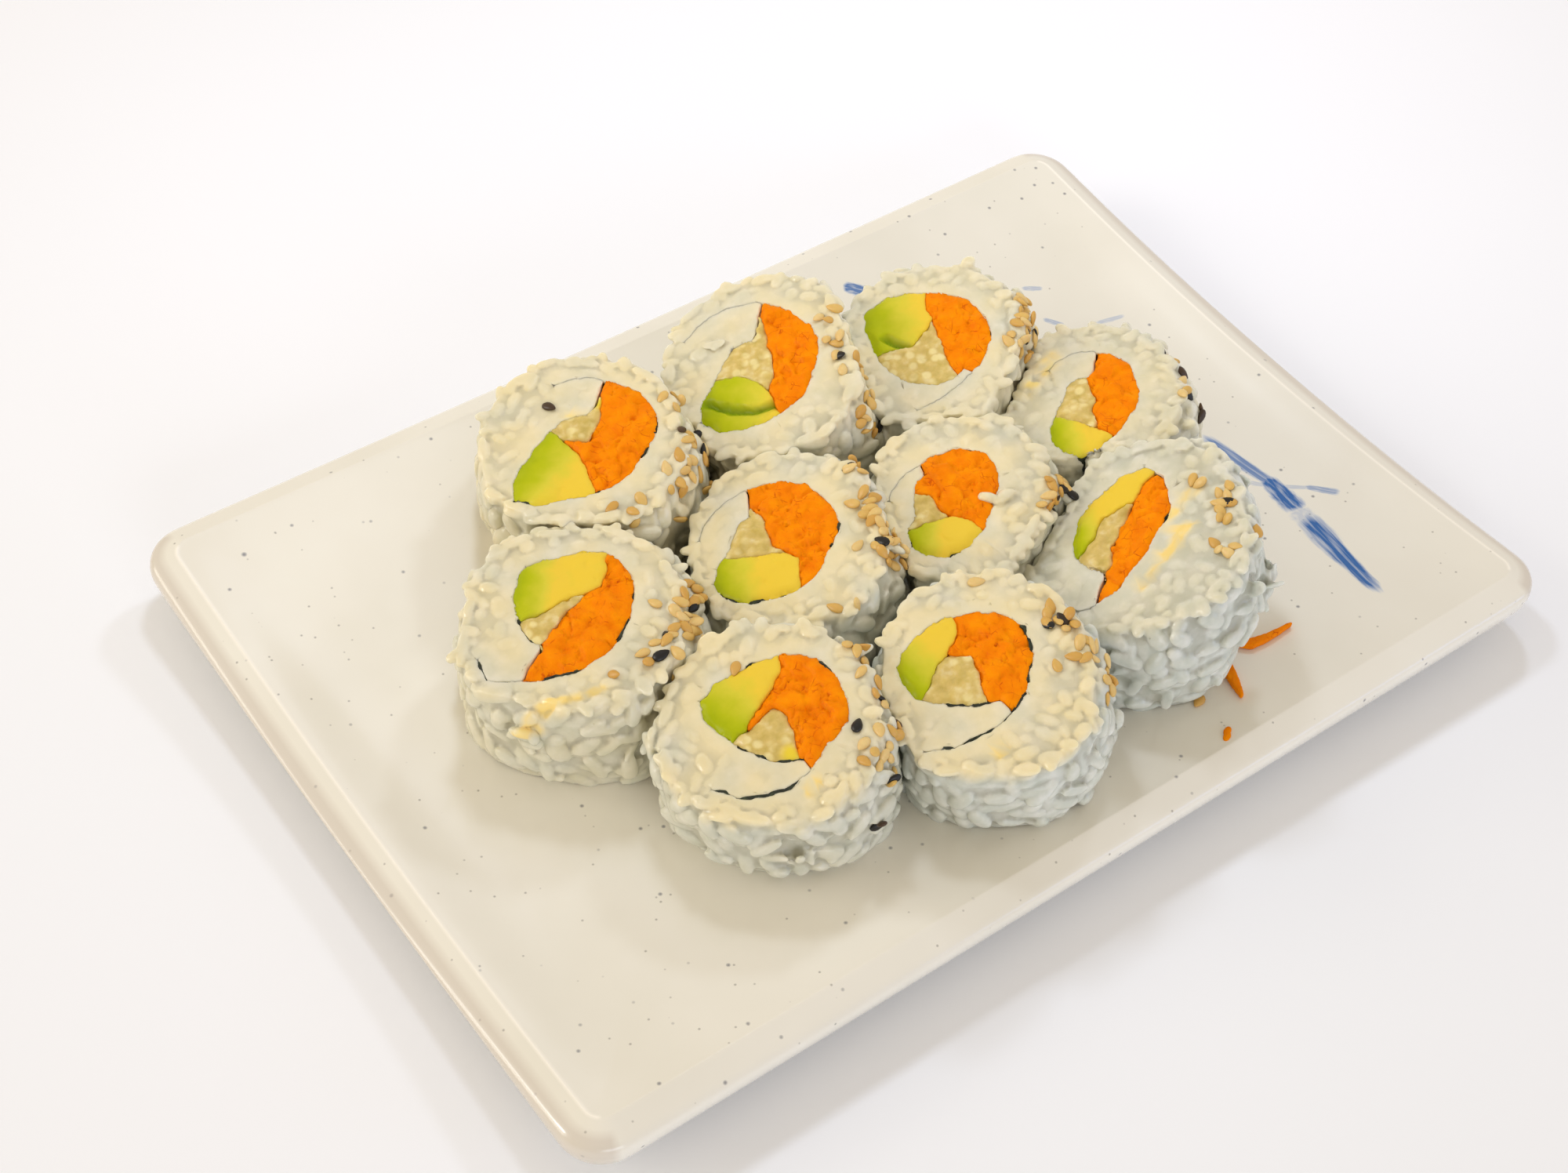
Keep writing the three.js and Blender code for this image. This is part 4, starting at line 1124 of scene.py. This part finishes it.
# Black sesame: a matt husk, black with a few dark brown seeds.
def makeBlackSesameMaterial():
    material, add, place = startMaterial("blackSesame")
    tone = add("Attribute", output="Fac", attribute_name="tone")
    husk = add("ValToRGB", {"Fac": tone},
               stops=[(0, "#121214"), (0.7, "#1d1b18"), (0.85, "#43301f"), (1, "#5a4029")])
    grit = add("TexNoise", {"Vector": place, "Scale": 1 / (0.4 * mm), "Detail": 2})
    return finishMaterial(material, add, (grit, 0.4, 0.1 * mm),
                          {"Base Color": husk, "Roughness": 0.4, "IOR": 1.46})


for kind, column, seedMaterial in (("sesame_pale", 0, makePaleSesameMaterial()),
                                   ("sesame_black", 1, makeBlackSesameMaterial())):
    sesame = objectFrom(kind, makeSesame(kind, column), seedMaterial)
    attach(sesame, "root")


# the carrot shreds that lie on the plate
shredLook = {"voxel": 0.3 * mm, "rounds": 2, "drop": 0.3 * mm}  # the drop closes the gap to the plate

for shredName in ("carrot_shred_bent", "carrot_shred_short"):
    strip = meshOf(shredName + "_strip", mergedCopy(shredName))
    shredMesh = remeshed(strip, shredLook["voxel"], shredLook["rounds"])
    shredPoints = positions(shredMesh)
    shredPoints[:, 2] -= shredLook["drop"]
    setPositions(shredMesh, shredPoints)
    shred = objectFrom(shredName + "_strip", shredMesh, fillingMaterials["carrot"])
    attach(shred, "root")
    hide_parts(shredName)


# a crumb of carrot beside them, of two lumps, on the plate in mm
crumbLook = {"place": (32.6, -72.4), "size": (2.6, 1.5, 0.7), "lump": (0.6, 0.2), "turn": 25,
             "voxel": 0.2 * mm}
crumbShape = bmesh.new()
crumbHeight = dishHeight(*crumbLook["place"]) + 0.25
crumbTurn = Matrix.Translation(Vector((*crumbLook["place"], crumbHeight)) * mm)
crumbTurn = crumbTurn @ Matrix.Rotation(math.radians(crumbLook["turn"]), 4, "Z")
for side in (-1, 1):
    lump = Matrix.Translation(Vector((*crumbLook["lump"], 0)) * side * mm)
    lump = lump @ Matrix.Diagonal([size * mm for size in crumbLook["size"]] + [1])
    bmesh.ops.create_icosphere(crumbShape, subdivisions=2, radius=0.5, matrix=crumbTurn @ lump)
crumb = objectFrom("carrot_crumb", remeshed(meshOf("carrot_crumb", crumbShape), crumbLook["voxel"]),
                   fillingMaterials["carrot"])
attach(crumb, "root")


stageLook = {
    "floor": ("#f7f9ff", "#f3f6fb"),
    "world": "#fff0da",
    "worldStrength": 0.67,
    # place in m, size in m, power in W, colour, and what it lights: everything, all but the gloss
    # or the gloss alone
    "lights": [
        ((0.02, 0.15, 0.34), (0.05, 0.05), 0.28, "#e0ebff", "matt"),
        ((0.265, 0.165, 0.35), (0.05, 0.05), 0.38, "#e0ebff", "matt"),
        ((-1.14, 0.74, 0.56), (0.9, 0.6), 6.7, "#fffaf0", "all"),
        ((-0.44, -1.37, 0.46), (0.9, 0.6), 6.2, "#e6eeff", "all"),
        ((0.9, -1.2, 0.38), (0.8, 0.4), 2.8, "#90b8ff", "all"),
        ((-0.5, 0.22, 0.4), (0.06, 0.06), 0.8, "#ffffff", "gloss"),
        ((0.435, 0.685, 1.305), (0.18, 0.45), 0.5, "#dfe9ff", "gloss"),
    ],
}

cameraLook = {
    "azimuth": -40.285, "elevation": 49.363, "roll": 5.571,
    "distance": 477.74 * mm, "target": (-16.27 * mm, 1.69 * mm, 15.5 * mm), "lens": 56.71,
}

floorShape = bmesh.new()
bmesh.ops.create_grid(floorShape, x_segments=2, y_segments=2, size=3)
floorMaterial, addToFloor, floorPlace = startMaterial("paleFloor")
floorNoise = addToFloor("TexNoise", {"Vector": floorPlace, "Scale": 3.0})
floorColor = addToFloor("ValToRGB", {"Fac": floorNoise}, stops=list(zip((0.3, 0.7), stageLook["floor"])))
finishMaterial(floorMaterial, addToFloor, None, {"Base Color": floorColor, "Roughness": 0.9})
floor = objectFrom("floor", meshOf("floor", floorShape), floorMaterial)

world = bpy.data.worlds.new("studio")
world.use_nodes = True
bpy.context.scene.world = world
background = world.node_tree.nodes["Background"]
background.inputs["Color"].default_value = linear(stageLook["world"])
background.inputs["Strength"].default_value = stageLook["worldStrength"]

for index, (place, size, power, color, lit) in enumerate(stageLook["lights"]):
    lamp = bpy.data.lights.new(f"softbox{index}", "AREA")
    lamp.shape = "RECTANGLE"
    lamp.size, lamp.size_y = size
    lamp.energy = power
    lamp.color = linear(color)[:3]
    lampObject = bpy.data.objects.new(lamp.name, lamp)
    lampObject.location = place
    lampObject.rotation_euler = Vector(place).to_track_quat("Z", "Y").to_euler()
    lampObject.visible_glossy = lit != "matt"
    lampObject.visible_diffuse = lit != "gloss"
    bpy.context.scene.collection.objects.link(lampObject)

azimuth, elevation, tilt = (math.radians(cameraLook[k]) for k in ("azimuth", "elevation", "roll"))
back = Vector((math.sin(azimuth) * math.cos(elevation), -math.cos(azimuth) * math.cos(elevation),
               math.sin(elevation)))
right = (-back).cross(Vector((0, 0, 1))).normalized()
up = right.cross(-back)
turnedRight = right * math.cos(tilt) + up * math.sin(tilt)
turnedUp = up * math.cos(tilt) - right * math.sin(tilt)
lens = bpy.data.cameras.new("camera")
lens.lens = cameraLook["lens"]
lens.sensor_width = 36
lens.clip_start = 0.01
camera = bpy.data.objects.new("camera", lens)
camera.matrix_world = Matrix.Translation(Vector(cameraLook["target"]) + back * cameraLook["distance"]) @ \
    Matrix((turnedRight, turnedUp, back)).transposed().to_4x4()
bpy.context.scene.collection.objects.link(camera)
bpy.context.scene.camera = camera
bpy.context.scene.view_settings.view_transform = "Standard"

print("scene done")
